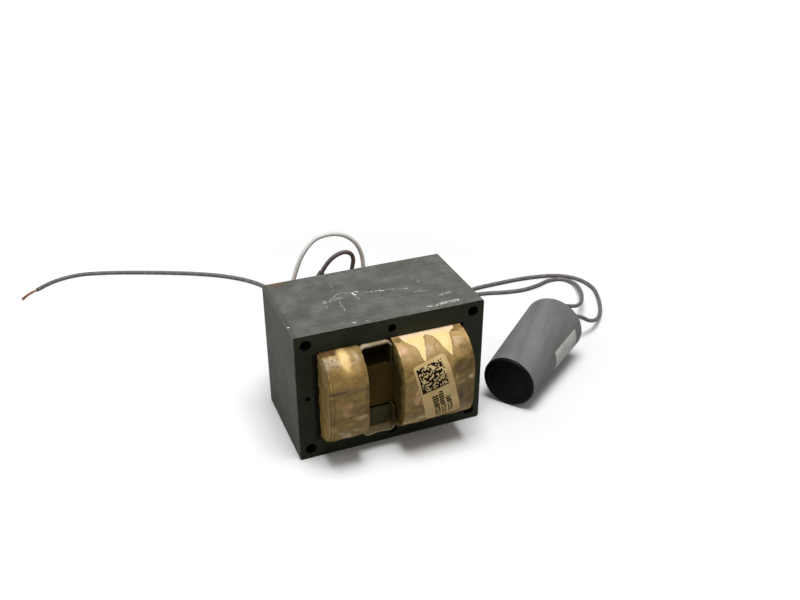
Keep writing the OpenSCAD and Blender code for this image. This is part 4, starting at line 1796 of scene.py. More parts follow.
@dataclass
class Coil:
    """One coil: its paper wrap, and the paper leaves and wire layers of its winding."""

    name: str
    section: CoilSection
    left: float
    width: float
    paper: WrapPaper
    creases: Creases
    nodes: tuple[str, str]
    wall: float = 0.6
    step: float = 0.55
    layers: int = 14
    tube: Pair = (34.1, 13.7)
    margin: float = 0.35
    seed: int = 5

    def runs(self) -> Array:
        """Rows of the wrap: close together on the bends, and wide apart in the windows.

        Returns:
            Runs along the outline.
        """
        near, half = self.section.half_depth - 1.0, self.section.half
        window = np.linspace(0.0, near, 14)[:-1]
        bend = np.arange(near, half - near, self.step)
        low = np.linspace(half - near, half, 14)[:-1]
        front = np.concatenate([window, bend, low])
        return np.concatenate([front, 2.0 * half - front[:0:-1]])

    def drop(self, run: Array) -> Array:
        """Drop down the front bend, or down the rear bend from REAR_DROP on.

        Args:
            run: Places along the outline.

        Returns:
            The drops.
        """
        front = run - self.section.half_depth
        rear = 2.0 * self.section.half - self.section.half_depth - run + REAR_DROP
        return np.where(run <= self.section.half, front, rear)

    def relief(self, x: Array, run: Array) -> Array:
        """Height of the paper, faded out where the coil lies in the windows.

        Args:
            x: Places across the width.
            run: Places along the outline.

        Returns:
            The heights.
        """
        drop = self.drop(run)
        local = np.where(drop > REAR_DROP / 2, drop - REAR_DROP, drop)
        fade = smooth_step(local, 0.3, 3.0) * smooth_step(self.section.bend_run - local, 0.3, 3.0)
        edge = np.minimum(x - self.left, self.left + self.width - x)
        return (self.creases.height(x, drop) * (0.55 + 0.45 * smooth_step(edge, 0.0, 2.5))
                + 0.12 * np.sin(drop * 0.9 + x * 0.35) * smooth_step(-edge, -1.2, 0.0)) * fade

    def over(self, x: Array, run: Array, height: Array | float) -> Array:
        """Points over the plain outline.

        Args:
            x: Places across the width.
            run: Places along the outline.
            height: Their height over it in millimetres.

        Returns:
            The points in metres.
        """
        spots, outward = self.section.at(run.ravel())
        at = spots + outward * np.broadcast_to(height, x.shape).reshape(-1, 1)
        made = np.stack([x.ravel(), at[:, 0], at[:, 1] + MID_HEIGHT], 1)
        return made.reshape(*x.shape, 3) * MM

    def patch(self, name: str, x: Array, run: Array, lift: Array | float, sunk: float,
              material: Material, uv: Array | None = None, creased: bool = True) -> Piece:
        """Builds a walled patch that lies on the wrap.

        Args:
            name: Name of the piece.
            x: Places across the width, as a grid.
            run: Places along the outline, as a grid.
            lift: Height of its upper side over the paper.
            sunk: Height of its lower side over the paper.
            material: Its material.
            uv: UV points as a grid, if they aren't width and drop.
            creased: Whether it follows the creases.

        Returns:
            The piece.
        """
        base = self.relief(x, run) if creased else 0.0
        shells = [self.over(x, run, base + height) for height in (lift, sunk)]
        flat = np.stack([x, self.drop(run)], 2) if uv is None else uv
        return shell_piece(name, shells, material, flat, 50.0)

    def build_wrap(self) -> None:
        """Builds the creased paper wrap as a walled sheet."""
        cols = int(round(self.width / self.step)) + 1
        x, run = np.meshgrid(np.linspace(self.left, self.left + self.width, cols), self.runs())
        shells = [self.over(x, run, height) for height in (self.relief(x, run), -self.wall)]
        piece = shell_piece(self.name + "_paper", shells, self.paper.material(),
                            np.stack([x, self.drop(run)], 2), 28.0, looped=True)
        register(piece, Slot.WRAP, self.nodes[0])

    def layer_tree(self) -> GeometryTree:
        """Builds the tree that nests rings between the tube and the wrap.

        Returns:
            The tree.
        """
        tree = GeometryTree(self.name + "_layers", Layers="Int", Shift="Float", Width="Float",
                            Thickness="Float", Roundness="Float", Width_Play="Float", Seed="Int",
                            Material="Material")
        loop, layers, shift, width, thickness, roundness, play, seed, material = tree.given
        curve = tree.node("MeshToCurve", {"Mesh": loop})[0]
        copies = tree.node("DuplicateElements", {"Geometry": curve, "Amount": layers}, domain="SPLINE")
        number = copies["Duplicate Index"]
        inner = tree.node("InputNamedAttribute", {"Name": "inner"}, data_type="FLOAT_VECTOR")[0]
        outer = tree.node("InputPosition")[0]
        at = tree.node("ShaderNodeMix", {0: (number + shift) / layers, 4: inner, 5: outer},
                       data_type="VECTOR", factor_mode="UNIFORM")[1]
        chance = tree.node("FunctionNodeRandomValue", {
            2: play * -1.0, 3: play, "ID": number, "Seed": seed}, data_type="FLOAT")[1]
        nested = tree.node("SetPosition", {"Geometry": copies["Geometry"], "Position": at,
                                           "Offset": tree.combine(x=chance)})[0]
        cyclic = tree.node("SetSplineCyclic", {"Geometry": nested, "Cyclic": True})[0]
        profile = tree.node("CurvePrimitiveQuadrilateral", {"Width": width, "Height": thickness})[0]
        soft = tree.node("FilletCurve", {"Curve": profile, "Radius": roundness, "Count": 3},
                         mode="POLY")[0]
        solid = tree.node("CurveToMesh", {"Curve": cyclic, "Profile Curve": soft})[0]
        return tree.close(tree.real(solid, material))

    def layer_loop(self, name: str) -> Piece:
        """Builds the outline under the wrap, which carries its matching points on the tube.

        Args:
            name: Name of the piece.

        Returns:
            The piece.
        """
        runs, start = [], 0.0
        for length, turn in self.section.stretches():
            count = 12 if turn else max(2, int(length / 7.0))
            runs += list(start + length * np.arange(count) / count)
            start += length
        spots, outward = self.section.at(np.array(runs))
        half_y, half_z = self.tube
        inner = np.clip(spots, (-half_y, -half_z), (half_y, half_z))
        steep = np.abs(outward[:, 0]) > np.abs(outward[:, 1])
        inner[steep, 0] = np.sign(outward[steep, 0]) * half_y
        inner[~steep, 1] = np.sign(outward[~steep, 1]) * half_z
        middle = np.full(len(runs), self.left + self.width / 2)
        loop, pull = (np.stack([middle, part[:, 0], part[:, 1] + MID_HEIGHT], 1) * MM
                      for part in (spots - outward * self.wall, inner))
        piece = line_piece(name, loop, closed=True)
        attribute = piece.data.attributes.new("inner", "FLOAT_VECTOR", "POINT")
        attribute.data.foreach_set("vector", pull.ravel())
        return piece

    def build_layers(self, leaf: Material, wire: Material) -> None:
        """Builds the paper leaves and the wire layers between them.

        Args:
            leaf: Material of the leaves.
            wire: Material of the wire.
        """
        tree = self.layer_tree()
        width = self.width - 2.0 * self.margin
        for tag, shift, wide, thick, soft, play, material, nodes in (
                ("_leaves", 1.0, width, 0.22, 0.02, 0.12, leaf, (self.nodes[1],)),
                ("_wires", 0.5, width - 2.2, 0.80, 0.36, 0.25, wire, ())):
            piece = tree.run(
                self.layer_loop(self.name + tag), Layers=self.layers, Shift=shift,
                Width=wide * MM, Thickness=thick * MM, Roundness=soft * MM,
                Width_Play=play * MM, Seed=self.seed, Material=material)
            register(piece, Slot.LAYERS, *nodes)


@dataclass
class CodeLabelPatch:
    """The tan label on the wide coil: a slanted sheet that follows the bend."""

    coil: Coil
    middle: Pair = (19.4, 41.15)
    size: Pair = (21.4, 42.0)
    slant: float = 13.4
    corner: float = 2.4
    thickness: float = 0.12

    def build(self) -> None:
        """Builds the label."""
        u, v = np.meshgrid(np.linspace(0.0, 1.0, 42), np.linspace(0.0, 1.0, 84))
        wide, high = self.size
        down = v * high
        rest = np.maximum(self.corner - down, self.corner - high + down)
        cut = self.corner - np.sqrt(self.corner ** 2 - np.clip(rest, 0.0, None) ** 2)
        across = (u - 0.5) * (wide - 2.0 * cut)
        turn = math.radians(self.slant)
        x = self.middle[0] + across * math.cos(turn) + (down - high / 2) * math.sin(turn)
        drop = self.middle[1] - across * math.sin(turn) + (down - high / 2) * math.cos(turn)
        piece = self.coil.patch("coil_label", x, drop + self.coil.section.half_depth,
                                0.08 + self.thickness, 0.02, CodeLabel().material(),
                                np.stack([across / wide + 0.5, v], 2))
        register(piece, Slot.WRAP)


@dataclass
class SideFlap:
    """Paper of the wrap folded down over the left side of a coil's front bend."""

    coil: Coil
    thickness: float = 0.3
    inset: float = 33.1
    hollow: Pair = (5.0, 31.0)

    def build(self, material: Material) -> None:
        """Builds the flap between the paper's edge and the face of the stack.

        Args:
            material: Its paper.
        """
        coil, section = self.coil, self.coil.section
        share, drop = np.meshgrid(np.linspace(0.0, 1.0, 30), np.arange(1.6, section.bend_run - 1.4, 0.7))
        spots, outward = section.at((drop + section.half_depth).ravel())
        edge = (spots - 0.25 * outward).reshape(*share.shape, 2)
        spread = 1.0 - share
        y = edge[..., 0] * spread - self.inset * (1.0 - spread)
        inward = np.abs(edge[..., 0]) - np.abs(y)
        top, foot = self.hollow
        lens = np.clip((drop - top) / 4.0, 0.0, 1.0) * np.clip((foot - drop) / 3.0, 0.0, 1.0)
        fold = np.clip(1.0 - np.abs(inward - 3.4) / 2.6, 0.0, 1.0)
        ripple = (0.22 * np.abs(np.sin(inward * 0.55 + drop * 0.16))
                  + 0.16 * np.sin(drop * 0.5 + inward * 0.3))
        out = 0.2 + np.clip(inward / 2.0, 0.0, 1.0) * (0.45 + ripple) - 0.85 * lens * fold
        out = np.maximum(out, 0.06)
        shells = [np.stack([coil.left - out - lift, y, edge[..., 1] + MID_HEIGHT], 2) * MM
                  for lift in (self.thickness, 0.0)]
        piece = shell_piece(coil.name + "_flap", shells, material,
                            np.stack([coil.left - inward, drop], 2), 28.0, flipped=True)
        register(piece, Slot.WRAP)


@dataclass
class OuterBand:
    """Second turn of paper over the bends of the narrow coil, right of its bare margin."""

    coil: Coil
    inset: float = 2.2
    wall: float = 0.5

    def build(self, material: Material) -> None:
        """Builds the front and the rear band.

        Args:
            material: Their paper.
        """
        coil, section = self.coil, self.coil.section
        cols = int((coil.width - self.inset) / coil.step)
        rows = int(section.bend_run / coil.step)
        across, drop = np.meshgrid(np.linspace(0.0, 1.0, cols),
                                   np.linspace(0.4, section.bend_run - 0.4, rows))
        wavy = 0.35 * np.sin(drop * 0.21) + 0.18 * np.sin(drop * 0.83 + 1.0)
        x = coil.left + self.inset + wavy + across * (coil.width - self.inset - wavy)
        front = drop + section.half_depth
        rear = 2.0 * section.half - front
        for name, x_here, run, nodes in (
                ("narrow_front_band", x, front, ("narrow_band",)),
                ("narrow_rear_band", x[::-1], rear[::-1], ())):
            register(coil.patch(name, x_here, run, self.wall, 0.03, material), Slot.WRAP, *nodes)


@dataclass
class LeadPad:
    """Taped pad over the lead joints on the rear bend of a coil, in millimetres."""

    coil: Coil
    name: str
    node: str
    left: float
    right: float
    seed: int
    low: float = 26.8
    high: float = 57.4
    thickness: float = 4.0
    edge: float = 1.6

    def build(self, material: Material) -> None:
        """Builds the pad as a padded patch with soft edges and laps of tape.

        Args:
            material: Its tape.
        """
        section = self.coil.section
        runs = np.linspace(section.half, section.length, 4000)
        spots, _ = section.at(runs)
        outside = spots[:, 0] > section.half_depth + 4.0
        height = spots[outside, 1] + MID_HEIGHT
        low_run, high_run = (runs[outside][np.argmin(np.abs(height - level))]
                             for level in (self.low, self.high))
        cols = int((self.right - self.left) / 0.45)
        u, v = np.meshgrid(np.linspace(0.0, 1.0, cols), np.linspace(0.0, 1.0, 90))
        x = self.left + u * (self.right - self.left)
        run = low_run + v * (high_run - low_run)
        off = np.minimum.reduce([x - self.left, self.right - x, run - low_run, high_run - run])
        share = np.clip(off / self.edge, 0.0, 1.0)
        crown = np.sqrt(1.0 - (1.0 - share) ** 2)
        chance = np.random.default_rng(self.seed)
        laps = np.zeros_like(x)
        for _ in range(5):
            at, tilt = chance.uniform(low_run, high_run), chance.normal(0.0, 0.05)
            laps += 0.16 * smooth_step(run - at + tilt * (x - self.left), -0.25, 0.25)
        lumps = 0.35 * np.sin(x * 0.42 + self.seed) * np.sin(run * 0.3 + 1.3)
        lift = 0.06 + crown * (self.thickness - 0.9 + laps + lumps * share)
        piece = self.coil.patch(self.name, x, run, lift, 0.02, material, creased=False)
        register(piece, Slot.TAPE, self.node)


# ---- capacitor


def placed(points: Sequence[Sequence[float]], place: Matrix) -> Array:
    """Moves points in millimetres by a matrix and turns them into metres."""
    return np.array([tuple(place @ Vector(point)) for point in points]) * MM


def lathe(name: str, profile: Sequence[Pair], place: Matrix, material: Material,
          ripple: float = 0.0, sides: int = 128) -> Piece:
    """Turns a closed profile round an axis.

    Args:
        name: Name of the piece.
        profile: Radius and height of each point, in millimetres, anticlockwise as seen with
            the axis on the left. A point at radius 0 is a pole.
        place: From the axis's own frame to the row frame, in millimetres.
        material: The material.
        ripple: Height of soft bands along the surface.
        sides: Faces round the axis.

    Returns:
        The piece. Its UV holds millimetres round and along it.
    """
    turn = np.linspace(0.0, FULL_TURN, sides, endpoint=False)
    wave = ripple * (np.sin(3.0 * turn + 0.6) * 0.5 + np.sin(7.0 * turn) * 0.3
                     + np.sin(16.0 * turn + 2.0) * 0.2)
    points, flat, rings = [], [], []
    for radius, height in profile:
        first, pole = len(points), radius < 1e-6
        rings.append([first] * sides if pole else list(range(first, first + sides)))
        for angle, bump in [(0.0, 0.0)] if pole else zip(turn, wave):
            out = 0.0 if pole else radius + bump
            points.append((out * math.cos(angle), out * math.sin(angle), height))
            flat.append((angle * radius, height))
    faces = []
    for lower, upper in zip(rings, rings[1:] + rings[:1]):
        if lower[0] == lower[1] and upper[0] == upper[1]:
            continue
        for k in range(sides):
            after = (k + 1) % sides
            corners = (lower[k], lower[after], upper[after], upper[k])
            faces.append(tuple(dict.fromkeys(corners)))
    return new_piece(name, placed(points, place), faces, material, np.array(flat))


@dataclass
class Capacitor:
    """Case, shrunk film, blank label, potting and lead sleeves of the capacitor."""

    place: CapacitorPlace
    wall: float = 1.5
    edge: float = 1.5
    film: float = 0.22
    potting_drop: float = 1.8
    sleeve_radius: float = 2.2
    sleeve_length: float = 6.0
    bore_radius: float = 1.45
    label_angles: Pair = (-23.0, 18.0)
    label_heights: Pair = (35.0, 66.5)

    def radius(self, height: float | Array) -> float | Array:
        """Outer radius of the shell at a height, inside the film."""
        slope = (self.place.rim_radius - self.place.near_radius) / self.place.length
        return self.place.near_radius + slope * height - self.film - FILM_GAP

    def build_case(self) -> None:
        """Builds the moulded case with its rounded edges."""
        place, r0 = self.place, self.radius(0.0)
        arc = [(r0 - self.edge + self.edge * math.sin(a), self.edge - self.edge * math.cos(a))
               for a in np.linspace(0.0, math.pi / 2, 7)]
        rim, top, lip = self.radius(place.length), place.length, 0.45
        profile = [(0.0, 0.55), (r0 - 4.2, 0.55), (r0 - 3.6, 0.0), *arc,
                   *((self.radius(h), h) for h in np.linspace(4.0, top - 3.0, 12)),
                   (rim - 0.05, top - lip), (rim - lip, top), (rim - self.wall + lip, top),
                   (rim - self.wall, top - lip),
                   (r0 - self.wall + 0.8, self.wall + 1.2), (r0 - self.wall - 0.6, self.wall),
                   (0.0, self.wall)]
        piece = lathe("capacitor_shell", profile, place.matrix(), CasePlastic().material())
        register(piece, Slot.CASE, "capacitor_case")

    def build_film(self) -> None:
        """Builds the grey film shrunk round the case."""
        place = self.place
        low, high = 1.9, place.length - 0.9
        heights = np.linspace(low, high, 26)
        outer = [(self.radius(h) + 0.06 + self.film, h) for h in heights]
        inner = [(self.radius(h) + 0.04, h) for h in heights[::-1]]
        piece = lathe("capacitor_film", [*outer, *inner], place.matrix(),
                      CaseFilm().material(), ripple=0.05)
        register(piece, Slot.CASE)

    def build_label(self) -> None:
        """Builds the blank label on the lower right of the film."""
        angle, height = np.meshgrid(np.radians(np.linspace(*self.label_angles, 40)),
                                    np.linspace(*self.label_heights, 40))
        shells = []
        for lift in (0.48, 0.3):
            out = self.radius(height) + lift
            local = np.stack([out * np.cos(angle), out * np.sin(angle), height], 2)
            shells.append(placed(local.reshape(-1, 3), self.place.matrix()).reshape(local.shape))
        piece = shell_piece("capacitor_label", shells, PlainStock().material(), None, 50.0, flipped=True)
        register(piece, Slot.CASE)

    def build_potting(self) -> None:
        """Builds the resin, which creeps up a little at the wall."""
        place = self.place
        top = place.length - self.potting_drop
        inner = self.radius(top) - self.wall
        profile = [(0.0, self.wall + 0.1), (self.radius(2.0) - self.wall - 0.2, self.wall + 0.1),
                   (inner - 0.05, top + 0.55), (inner - 0.8, top + 0.12), (inner - 2.2, top),
                   (4.0, top - 0.1), (0.0, top - 0.12)]
        resin = CasePlastic("potting_resin", (0.010, 0.009, 0.008), (0.022, 0.020, 0.017), 0.3,
                            0.5).material()
        register(lathe("capacitor_resin", profile, place.matrix(), resin), Slot.RESIN, "capacitor_potting")

    def build_sleeves(self) -> None:
        """Builds the two sleeves that the leads leave by."""
        place = self.place
        rubber = CasePlastic("sleeve_rubber", (0.014, 0.013, 0.012), (0.03, 0.028, 0.027), 0.55,
                             0.3).material()
        low = place.length - self.sleeve_length + 0.6
        high = place.length + place.sleeve_out
        r, bore = self.sleeve_radius, self.bore_radius
        profile = [(r + 0.5, low), (r + 0.1, low + 4.2), (r, high - 0.4), (r - 0.35, high),
                   (bore, high), (bore, low)]
        for side, tag, nodes in ((-1, "inner", ("capacitor_sleeves",)), (1, "outer", ())):
            shift = Matrix.Translation((side * place.sleeve_pitch / 2, 0.0, 0.0))
            piece = lathe(f"{tag}_sleeve", profile, place.matrix() @ shift, rubber, sides=40)
            register(piece, Slot.RESIN, *nodes)

    def build(self) -> None:
        """Builds the capacitor."""
        self.build_case()
        self.build_film()
        self.build_label()
        self.build_potting()
        self.build_sleeves()


# ---- whole object


def wide_coil() -> Coil:
    """The coil on the right, whose end turns reach further out.

    Returns:
        The coil.
    """
    return Coil(
        "wide_coil", CoilSection(22.4, 20.0, 21.0), -1.0, 43.5,
        WrapPaper("wide_wrap_paper", (
            HighlightArea(((0.0, 3.8), (3.0, 4.2), (6.0, 4.6), (8.0, 6.5), (10.0, 9.3), (13.0, 10.8),
                     (18.0, 11.5), (20.5, 12.2), (22.0, 14.5)),
                    ((0.0, 21.0), (2.5, 19.5), (5.0, 17.2), (9.0, 16.2), (13.0, 15.2),
                     (17.0, 14.2), (20.5, 13.4), (22.0, 12.5))),
            HighlightArea(((0.0, 18.0), (3.3, 18.8), (5.0, 21.5), (8.0, 23.6), (11.0, 24.5),
                     (14.0, 25.2), (17.0, 26.8), (20.0, 28.8), (21.5, 30.5)),
                    ((0.0, 38.0), (2.5, 37.2), (4.0, 35.0), (6.0, 33.0), (9.0, 32.2),
                     (13.0, 31.6), (17.0, 30.8), (20.0, 29.8), (21.5, 29.0))),
        ), tuple(Stain(*row) for row in (
            # The rosy patch at (1.0, 11.5) is a painted highlight; the soaked patch at (1.6, 3.8) is a
            # painted shadow of the stack.
            (1.0, 11.5, 3.4, 3.6, Tint.ROSY, 0.6), (1.6, 3.8, 2.3, 2.2, Tint.SOAKED, 0.8),
            (39.5, 3.0, 5.5, 2.4, Tint.BROWN, 0.8), (36.6, 4.9, 4.4, 0.6, Tint.SOAKED, 0.8, -24.0, 0.15),
            (2.0, 25.0, 4.6, 0.6, Tint.SOAKED, 0.6, -24.0), (39.5, 19.5, 4.6, 5.4, Tint.BROWN, 0.75),
            (37.0, 16.8, 1.8, 1.2, Tint.SOAKED, 0.5), (41.4, 24.5, 1.8, 3.4, Tint.DARK, 0.6),
            (35.5, 29.0, 7.0, 5.6, Tint.DARK, 0.75), (38.5, 47.0, 8.5, 9.5, Tint.SOAKED, 0.85),
            # The tan patch at (3.5, 59.5) is painted light on the lower bend.
            (34.5, 46.5, 1.6, 4.0, Tint.DARK, 0.6, -14.0), (3.5, 59.5, 9.0, 3.6, Tint.TAN, 0.45),
            # The pale patch at (40.8, 36.0) and the tan streak at (33.0, 38.4) are painted highlights along
            # a fold.
            (40.8, 36.0, 2.4, 1.7, Tint.PALE, 0.6, 8.0), (33.0, 38.4, 3.6, 0.9, Tint.TAN, 0.5, 12.0),
            (7.2, 41.0, 2.0, 7.0, Tint.ROSY, 0.8, -13.0, 0.15),
            (6.5, 48.9, 4.6, 0.9, Tint.SOAKED, 0.8, 3.0), (4.5, 52.0, 6.5, 3.4, Tint.BROWN, 0.6),
            # The pale patches at (9.5, 58.4) and (4.0, 62.5) are painted highlights on folds of the lower
            # bend.
            (9.5, 58.4, 3.6, 1.6, Tint.PALE, 0.85, -8.0), (4.0, 62.5, 5.0, 1.8, Tint.PALE, 0.7),
            (2.5, 55.6, 5.5, 0.5, Tint.SOAKED, 0.7, -12.0),
            (10.6, 52.0, 0.6, 5.0, Tint.SOAKED, 0.5, -14.0), (42.0, 7.5, 1.6, 0.8, Tint.RUST, 0.6),
            (39.8, 12.8, 1.0, 0.8, Tint.RUST, 0.5), (30.5, 35.0, 0.8, 3.0, Tint.TAN, 0.4, -14.0),
            # The long dark strip at (42.2, 38.0) is a painted shadow along the right edge.
            (42.2, 38.0, 0.9, 22.0, Tint.SOAKED, 0.6),
        ))),
        Creases((-1.0, 42.5), (
            Fold((4.6, 1.0), (12.0, 21.0), -0.45, 4.0), Fold((20.2, 1.0), (13.0, 21.0), -0.5, 4.0),
            Fold((23.6, 1.0), (28.6, 21.0), -0.4, 3.5), Fold((36.6, 3.0), (30.0, 21.0), -0.5, 3.5),
            Fold((2.0, 31.5), (9.0, 25.0), 0.6, 1.8), Fold((8.6, 33.0), (11.0, 52.0), 0.6, 2.2),
            Fold((-1.0, 56.5), (15.0, 57.5), 0.8, 3.4), Fold((27.5, 36.0), (43.0, 32.5), 0.7, 1.8),
            Fold((31.0, 55.0), (43.0, 51.0), 0.5, 2.4), Fold((33.0, 8.0), (41.0, 14.0), 0.5, 2.0),
        ), 11, flats=((19.8, 41.15, 10.6, 21.2, math.radians(14.0)),)), ("wide_wrap", "wide_winding"))


def narrow_coil() -> Coil:
    """The coil on the left, which has a second turn of paper.

    Returns:
        The coil.
    """
    return Coil(
        "narrow_coil", CoilSection(18.8, 17.0, 18.0), -44.0, 22.5,
        WrapPaper("narrow_wrap_paper", (
            HighlightArea(((0.0, -33.2), (3.0, -34.2), (7.0, -35.4), (13.0, -35.2), (15.0, -34.0),
                     (17.0, -32.2), (18.0, -30.0)),
                    ((0.0, -30.6), (3.0, -29.8), (8.0, -29.2), (13.0, -29.6), (16.0, -30.6),
                     (17.0, -31.4), (18.0, -33.0)), 3.4),
        ), tuple(Stain(*row) for row in (
            # The tan and gold patches at (-31.0, 10.5) and (-31.5, 17.0) are painted glow round the painted
            # highlight.
            (-31.0, 10.5, 7.0, 8.0, Tint.TAN, 0.6, 0.0, 0.5),
            (-31.5, 17.0, 4.5, 2.4, Tint.GOLD, 0.6, 0.0, 0.5),
            (-39.5, 2.4, 7.5, 3.2, Tint.DARK, 0.85, 0.0, 0.2),
            (-26.0, 0.6, 5.0, 2.2, Tint.SOAKED, 0.75, -8.0), (-37.8, 3.6, 4.0, 1.9, Tint.CHAR, 0.7, 4.0),
            (-41.4, 8.4, 1.1, 2.6, Tint.PALE, 0.35, 28.0, 0.2),
            (-38.9, 7.6, 0.8, 2.4, Tint.PALE, 0.45, 35.0, 0.2),
            (-36.6, 7.2, 1.4, 0.9, Tint.PALE, 0.4, 0.0, 0.2), (-23.0, 14.0, 2.0, 8.0, Tint.BROWN, 0.6),
            (-40.2, 12.4, 1.5, 0.6, Tint.SOAKED, 0.8, -10.0), (-37.4, 12.9, 1.0, 0.5, Tint.SOAKED, 0.8),
            (-39.5, 27.6, 5.6, 0.9, Tint.SOAKED, 0.9, 4.0),
            (-29.0, 29.3, 8.5, 0.6, Tint.SOAKED, 0.55, 8.0), (-42.2, 29.8, 2.6, 0.9, Tint.GOLD, 0.6),
            (-34.2, 40.0, 2.8, 5.0, Tint.ROSY, 0.45, -10.0),
            (-26.0, 42.0, 8.0, 3.0, Tint.SOAKED, 0.6, -10.0, 0.5),
            (-40.0, 46.5, 6.0, 2.6, Tint.SOAKED, 0.4, 6.0, 0.5),
            (-33.0, 45.4, 11.0, 0.5, Tint.SOAKED, 0.7, 6.0),
            (-31.0, 48.2, 9.0, 0.4, Tint.SOAKED, 0.5, 4.0),
            (-25.5, 47.0, 3.5, 1.2, Tint.PALE, 0.35, 10.0, 0.5),
            (-38.0, 56.0, 2.2, 1.0, Tint.PALE, 0.4, -20.0),
            (-29.0, 55.5, 3.4, 0.7, Tint.PALE, 0.35, -14.0),
            (-31.0, 68.0, 3.0, 6.0, Tint.PALE, 0.35, 10.0, 0.5),
            # The pale patch at (-34.6, 60.0) is a painted highlight on the lower bend.
            (-22.2, 36.0, 1.8, 12.0, Tint.SOAKED, 0.6), (-34.6, 60.0, 3.4, 2.6, Tint.PALE, 0.7),
            (-43.0, 51.5, 1.8, 2.2, Tint.PALE, 0.2), (-52.0, 14.0, 8.0, 13.0, Tint.OLIVE, 0.6, 0.0, 0.5),
            (-50.0, 40.0, 7.0, 14.0, Tint.BROWN, 0.35, 0.0, 0.5),
            # The strip at (-46.2, 16.0) lies on the side flap: a painted shadow along its fold.
            (-46.2, 16.0, 0.7, 12.0, Tint.SOAKED, 0.6, 0.0, 0.5),
            (-47.5, 27.5, 3.0, 0.7, Tint.SOAKED, 0.6, -20.0),
        # This coil's painted highlight is darker at the top of the bend: painted shade there.
        )), base=(0.300, 0.187, 0.050), upper=(0.24, 0.163, 0.062), painted_highlight=(0.84, 0.58, 0.24),
            highlight_top=(0.48, 0.31, 0.13), upper_end=10.0, coat=0.02),
        Creases((-44.0, -21.5), (
            Fold((-41.0, 6.0), (-33.0, 9.0), 0.4, 1.6), Fold((-40.0, 10.0), (-35.0, 7.0), 0.35, 1.4),
            Fold((-41.0, 31.0), (-21.5, 30.0), -0.3, 2.0), Fold((-38.0, 46.0), (-22.0, 47.0), 0.25, 3.0),
        ), 23, loose=18, laps=((26.8, 0.38), (39.0, 0.22))), ("narrow_wrap", "narrow_winding"))


def build_coils() -> None:
    """Builds both coils with their bands, label and pads."""
    wide, narrow = wide_coil(), narrow_coil()
    wire = Copper("enamelled_wire", (0.34, 0.13, 0.045), (0.14, 0.05, 0.02), 0.7).material()
    for coil in (wide, narrow):
        coil.creases.prepare(coil.section.bend_run)
        coil.build_wrap()
        leaf = LeafPaper(coil.name + "_leaf", coil.section.end, coil.section.bend).material()
        coil.build_layers(leaf, wire)
    CodeLabelPatch(wide).build()
    cover = narrow.paper.material()
    OuterBand(narrow).build(cover)
    SideFlap(narrow).build(cover)
    tape = Paper("pad_tape", (0.56, 0.45, 0.27), (0.36, 0.26, 0.13), (0.72, 0.62, 0.42),
                 (0.45, 0.65), 0.1).material()
    LeadPad(wide, "wide_pad", "wide_lead_pad", 0.7, 41.4, 3).build(tape)
    LeadPad(narrow, "narrow_pad", "narrow_lead_pad", -41.0, -23.0, 6).build(tape)


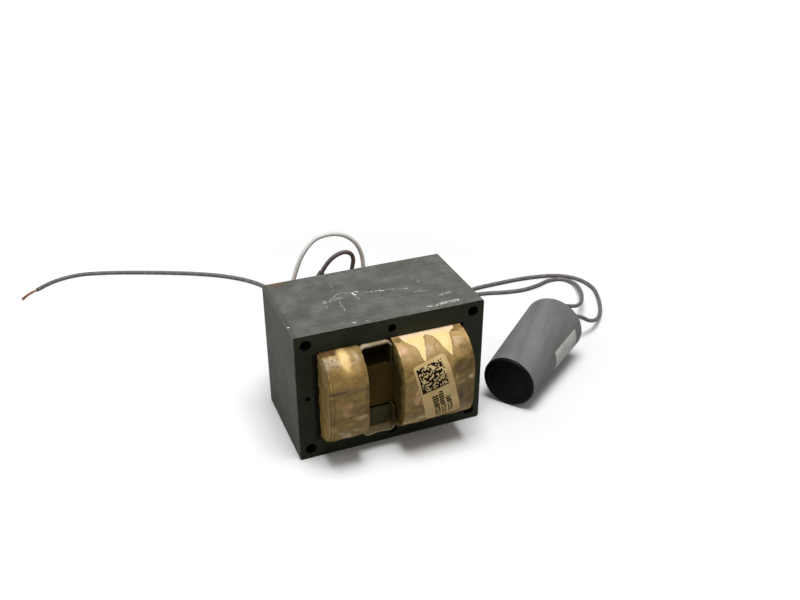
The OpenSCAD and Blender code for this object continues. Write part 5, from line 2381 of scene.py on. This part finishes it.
@dataclass(frozen=True)
class Liner:
    """Folded board channel round a shunt, torn and bent outwards where it stands out."""

    name: str
    up: int
    front: float
    rear: float
    flare: float
    seed: int
    middle: float = -11.25
    half_width: float = 9.95
    low: float = 13.7
    top: float = 29.2
    wall: float = 1.0
    fold: float = 3.5

    def section(self, inset: float) -> Array:
        """Outline of the channel.

        Args:
            inset: How far it is set inwards.

        Returns:
            Place across and height over the leg of each point.
        """
        side, top = self.half_width - inset, self.top - inset
        radius = self.fold - inset
        turn = np.linspace(0.0, math.pi / 2, 8)
        arc = np.column_stack([side - radius + radius * np.cos(turn),
                               top - radius + radius * np.sin(turn)])
        leg = np.column_stack([np.full(6, side), np.linspace(self.low, top - radius, 7)[:-1]])
        flat = np.column_stack([np.linspace(side - radius, 0.0, 7)[1:], np.full(6, top)])
        half = np.concatenate([leg, arc, flat])
        return np.concatenate([half, (half * (-1.0, 1.0))[-2::-1]])

    def build(self, material: Material) -> None:
        """Builds the channel.

        Args:
            material: Its board.
        """
        rng = np.random.default_rng(self.seed)
        outlines = (self.section(0.0), self.section(self.wall))
        cols = len(outlines[0])
        place = np.linspace(0.0, 1.0, cols)
        torn = sum(rng.uniform(0.3, 1.0) * np.sin(place * f + rng.uniform(0.0, 6.3)) / f
                   for f in (6.0, 14.0, 31.0, 67.0, 120.0)) * 5.0
        rows = [(-1.0, self.front, share) for share in np.linspace(-1.0, 0.0, 9)]
        rows += [(1.0, self.rear, share) for share in np.linspace(0.0, 1.0, 9)]
        shells = []
        for outline in outlines:
            made = []
            for end, out, share in rows:
                bend = abs(share)
                y = end * HALF_DEPTH + share * out + end * 0.5 * torn * bend
                away = self.flare * bend * bend * (1.0 + 0.3 * np.sin(place * 17.0 + self.seed))
                lift = outline[:, 1] + np.where(outline[:, 1] > self.top - 2.0, away, 0.0)
                made.append(np.column_stack([self.middle + outline[:, 0], y, MID_HEIGHT + self.up * lift]))
            shells.append(np.stack(made) * MM)
        marks = np.stack(np.broadcast_arrays(place, np.arange(2.0)[:, None, None],
                                             np.zeros((2, len(rows), cols)))[:2], 3)
        piece = shell_piece(self.name, shells, material, marks, flipped=self.up < 0)
        register(piece, Slot.LINER, f"{self.name.split('_')[0]}_liner")


def dress_inner_parts() -> None:
    """Gives the tube and the shunts their finishes and builds the liners."""
    dress("leg_tube", Paper("tube_board", (0.080, 0.050, 0.008), (0.052, 0.032, 0.005),
                            (0.11, 0.072, 0.016), (0.6, 0.8), 0.0, 0.12).material())
    # The upper shunt is given a darker, browner colour than the lower one.
    dress("upper_shunt", ShuntSteel("soaked_shunt_edges", (0.055, 0.034, 0.008),
                                    (0.022, 0.014, 0.004)).material())
    dress("lower_shunt", ShuntSteel().material())
    board = LinerPaper().material()
    Liner("upper_channel", 1, 3.5, 3.5, 0.15, 4).build(board)
    Liner("lower_channel", -1, 7.3, 5.5, 0.7, 9).build(board)


def main() -> None:
    """Builds the scene in order."""
    logging.basicConfig(level=logging.INFO, format="%(name)s: %(message)s")
    place = CapacitorPlace()
    Studio().build()
    Leads(place).build()
    LaminatedCore().build()
    build_coils()
    dress_inner_parts()
    Capacitor(place).build()


if __name__ == "__main__":
    main()
